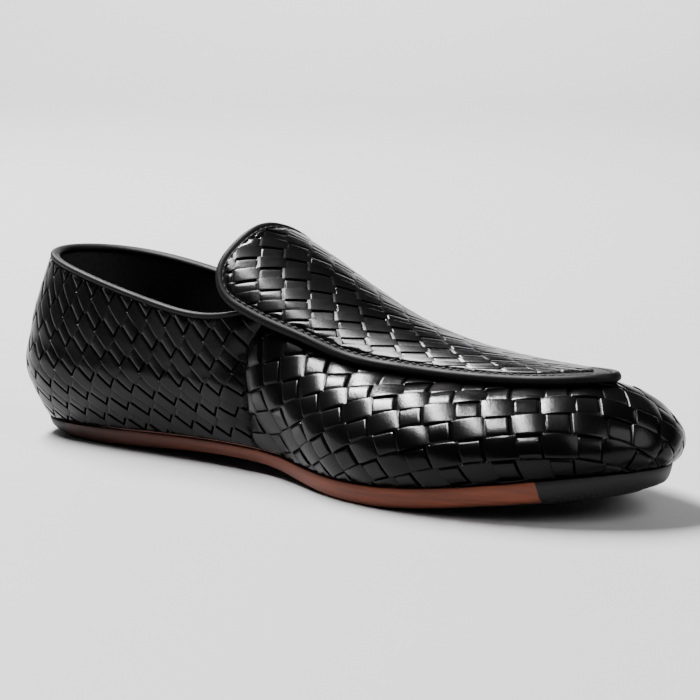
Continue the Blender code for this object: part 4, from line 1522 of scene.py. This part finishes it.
@dataclass
class Studio:
    """Floor, light and camera at the photograph's angle."""

    azimuth: float = 42.4
    elevation: float = 8.0
    distance: float = 0.9
    lens: float = 137.0
    sensor: float = 36.0
    target: tuple[float, float, float] = (0.0084, -0.0010, 0.0409)
    floor_radius: float = 3.0
    floor_hub: float = 0.0005
    floor_steps: int = 12
    wall_radius: float = 4.6
    wall_height: float = 1.8
    wall_steps: int = 24
    turn_steps: int = 96
    pale: tuple[float, float, float] = (0.42, 0.4175, 0.4245)
    world: float = 0.014
    front_share: float = 0.3

    def build_floor(self) -> None:
        """Pale floor that sweeps up into a wall all round, a turned profile, lower on the camera's side."""
        bend = 0.5 * math.pi * np.linspace(0.0, 1.0, self.wall_steps)
        width = self.wall_radius - self.floor_radius
        flat = np.linspace(self.floor_hub, self.floor_radius, self.floor_steps)[:-1]
        radius = np.concatenate([flat, self.floor_radius + width * np.sin(bend)])
        height = np.concatenate([0.0 * flat, self.wall_height * (1.0 - np.cos(bend))])
        turn = np.linspace(0.0, 2.0 * math.pi, self.turn_steps, endpoint=False)
        away = 0.5 + 0.5 * np.cos(turn - math.radians(self.azimuth + 90.0))
        rise = height[:, None] * (self.front_share + (1.0 - self.front_share) * away)
        points = np.stack([radius[:, None] * np.cos(turn), radius[:, None] * np.sin(turn), rise], -1)
        faces = grid_faces(len(radius), len(turn), closed_columns=True)
        material = Matt("floor_paper", self.pale, self.pale, (0.6, 0.75), 40.0).material()
        new_object("studio_floor", points.reshape(-1, 3), faces, material)

    def build_light(self) -> None:
        """Strip over the shoe in line with the view, a backdrop light, a weak one on the toe, a dim world."""
        world = bpy.data.worlds.new("studio_world")
        world.use_nodes = True
        surround = world.node_tree.nodes["Background"]
        feed(world.node_tree, surround, {"Color": (1.0, 1.0, 1.0, 1.0), "Strength": self.world})
        bpy.context.scene.world = world
        boxes = (Softbox("overhead_softbox", (-1.25, 0.1, 2.25), self.target, (0.36, 2.4), 350.0, -51.0),
                 Softbox("backdrop_softbox", (-2.6, 2.8, 2.4), (-3.6, 3.9, 0.3), (1.6, 1.6), 260.0),
                 Softbox("toe_softbox", (1.5, 0.0, 1.4), self.target, (1.5, 1.5), 30.0))
        for box in boxes:
            box.build()

    def build_camera(self) -> None:
        """Camera on the photograph's bearing, looking at the middle of the shoe."""
        lens = bpy.data.cameras.new("photo_camera")
        lens.lens = self.lens
        lens.sensor_width = self.sensor
        camera = bpy.data.objects.new("photo_camera", lens)
        a, e = math.radians(self.azimuth), math.radians(self.elevation)
        back = Vector((math.sin(a) * math.cos(e), -math.cos(a) * math.cos(e), math.sin(e)))
        camera.location = Vector(self.target) + back * self.distance
        camera.rotation_euler = back.to_track_quat("Z", "Y").to_euler()
        bpy.context.scene.collection.objects.link(camera)
        bpy.context.scene.camera = camera


def main() -> None:
    """Builds the shoe's pieces in the order a maker would, then the studio, and logs how many pieces were
    made.
    """
    logging.basicConfig(level=logging.INFO, format="%(name)s: %(message)s")
    shoe = Shoe()
    woven = Leather("woven_leather", woven=True).material()
    calm = Leather("apron_leather", woven=True, rough=(0.2, 0.27), strength=0.12).material()
    smooth = Leather("binding_leather", rough=(0.46, 0.6), coat=0.0).material()
    thread = Matt("black_thread", (0.004,) * 3, (0.010,) * 3, (0.5, 0.65), 3000.0).material()
    lining = Matt("black_lining", (0.014,) * 3, (0.026,) * 3, (0.6, 0.75), 900.0).material()
    rubber = Matt("black_rubber", (0.004,) * 3, (0.008, 0.008, 0.0078), (0.5, 0.62), 1200.0).material()
    sole = Sole()
    sole.build_outsole(shoe, SoleLeather().material())
    sole.build_treads(shoe, rubber)
    sole.build_insole(shoe, lining)
    upper = Upper()
    upper.build_lining(shoe, lining)
    upper.build_quarter(shoe, woven)
    upper.build_vamp(shoe, woven)
    Collar().build(shoe, smooth)
    apron = Apron()
    apron.build_lining(shoe, lining)
    apron.build_weave(shoe, calm)
    apron.build_margin(shoe, smooth)
    apron.build_edge(shoe, smooth, thread)
    studio = Studio()
    studio.build_floor()
    studio.build_light()
    studio.build_camera()
    LOG.info("%d pieces", len(shoe.made))


if __name__ == "__main__":
    main()
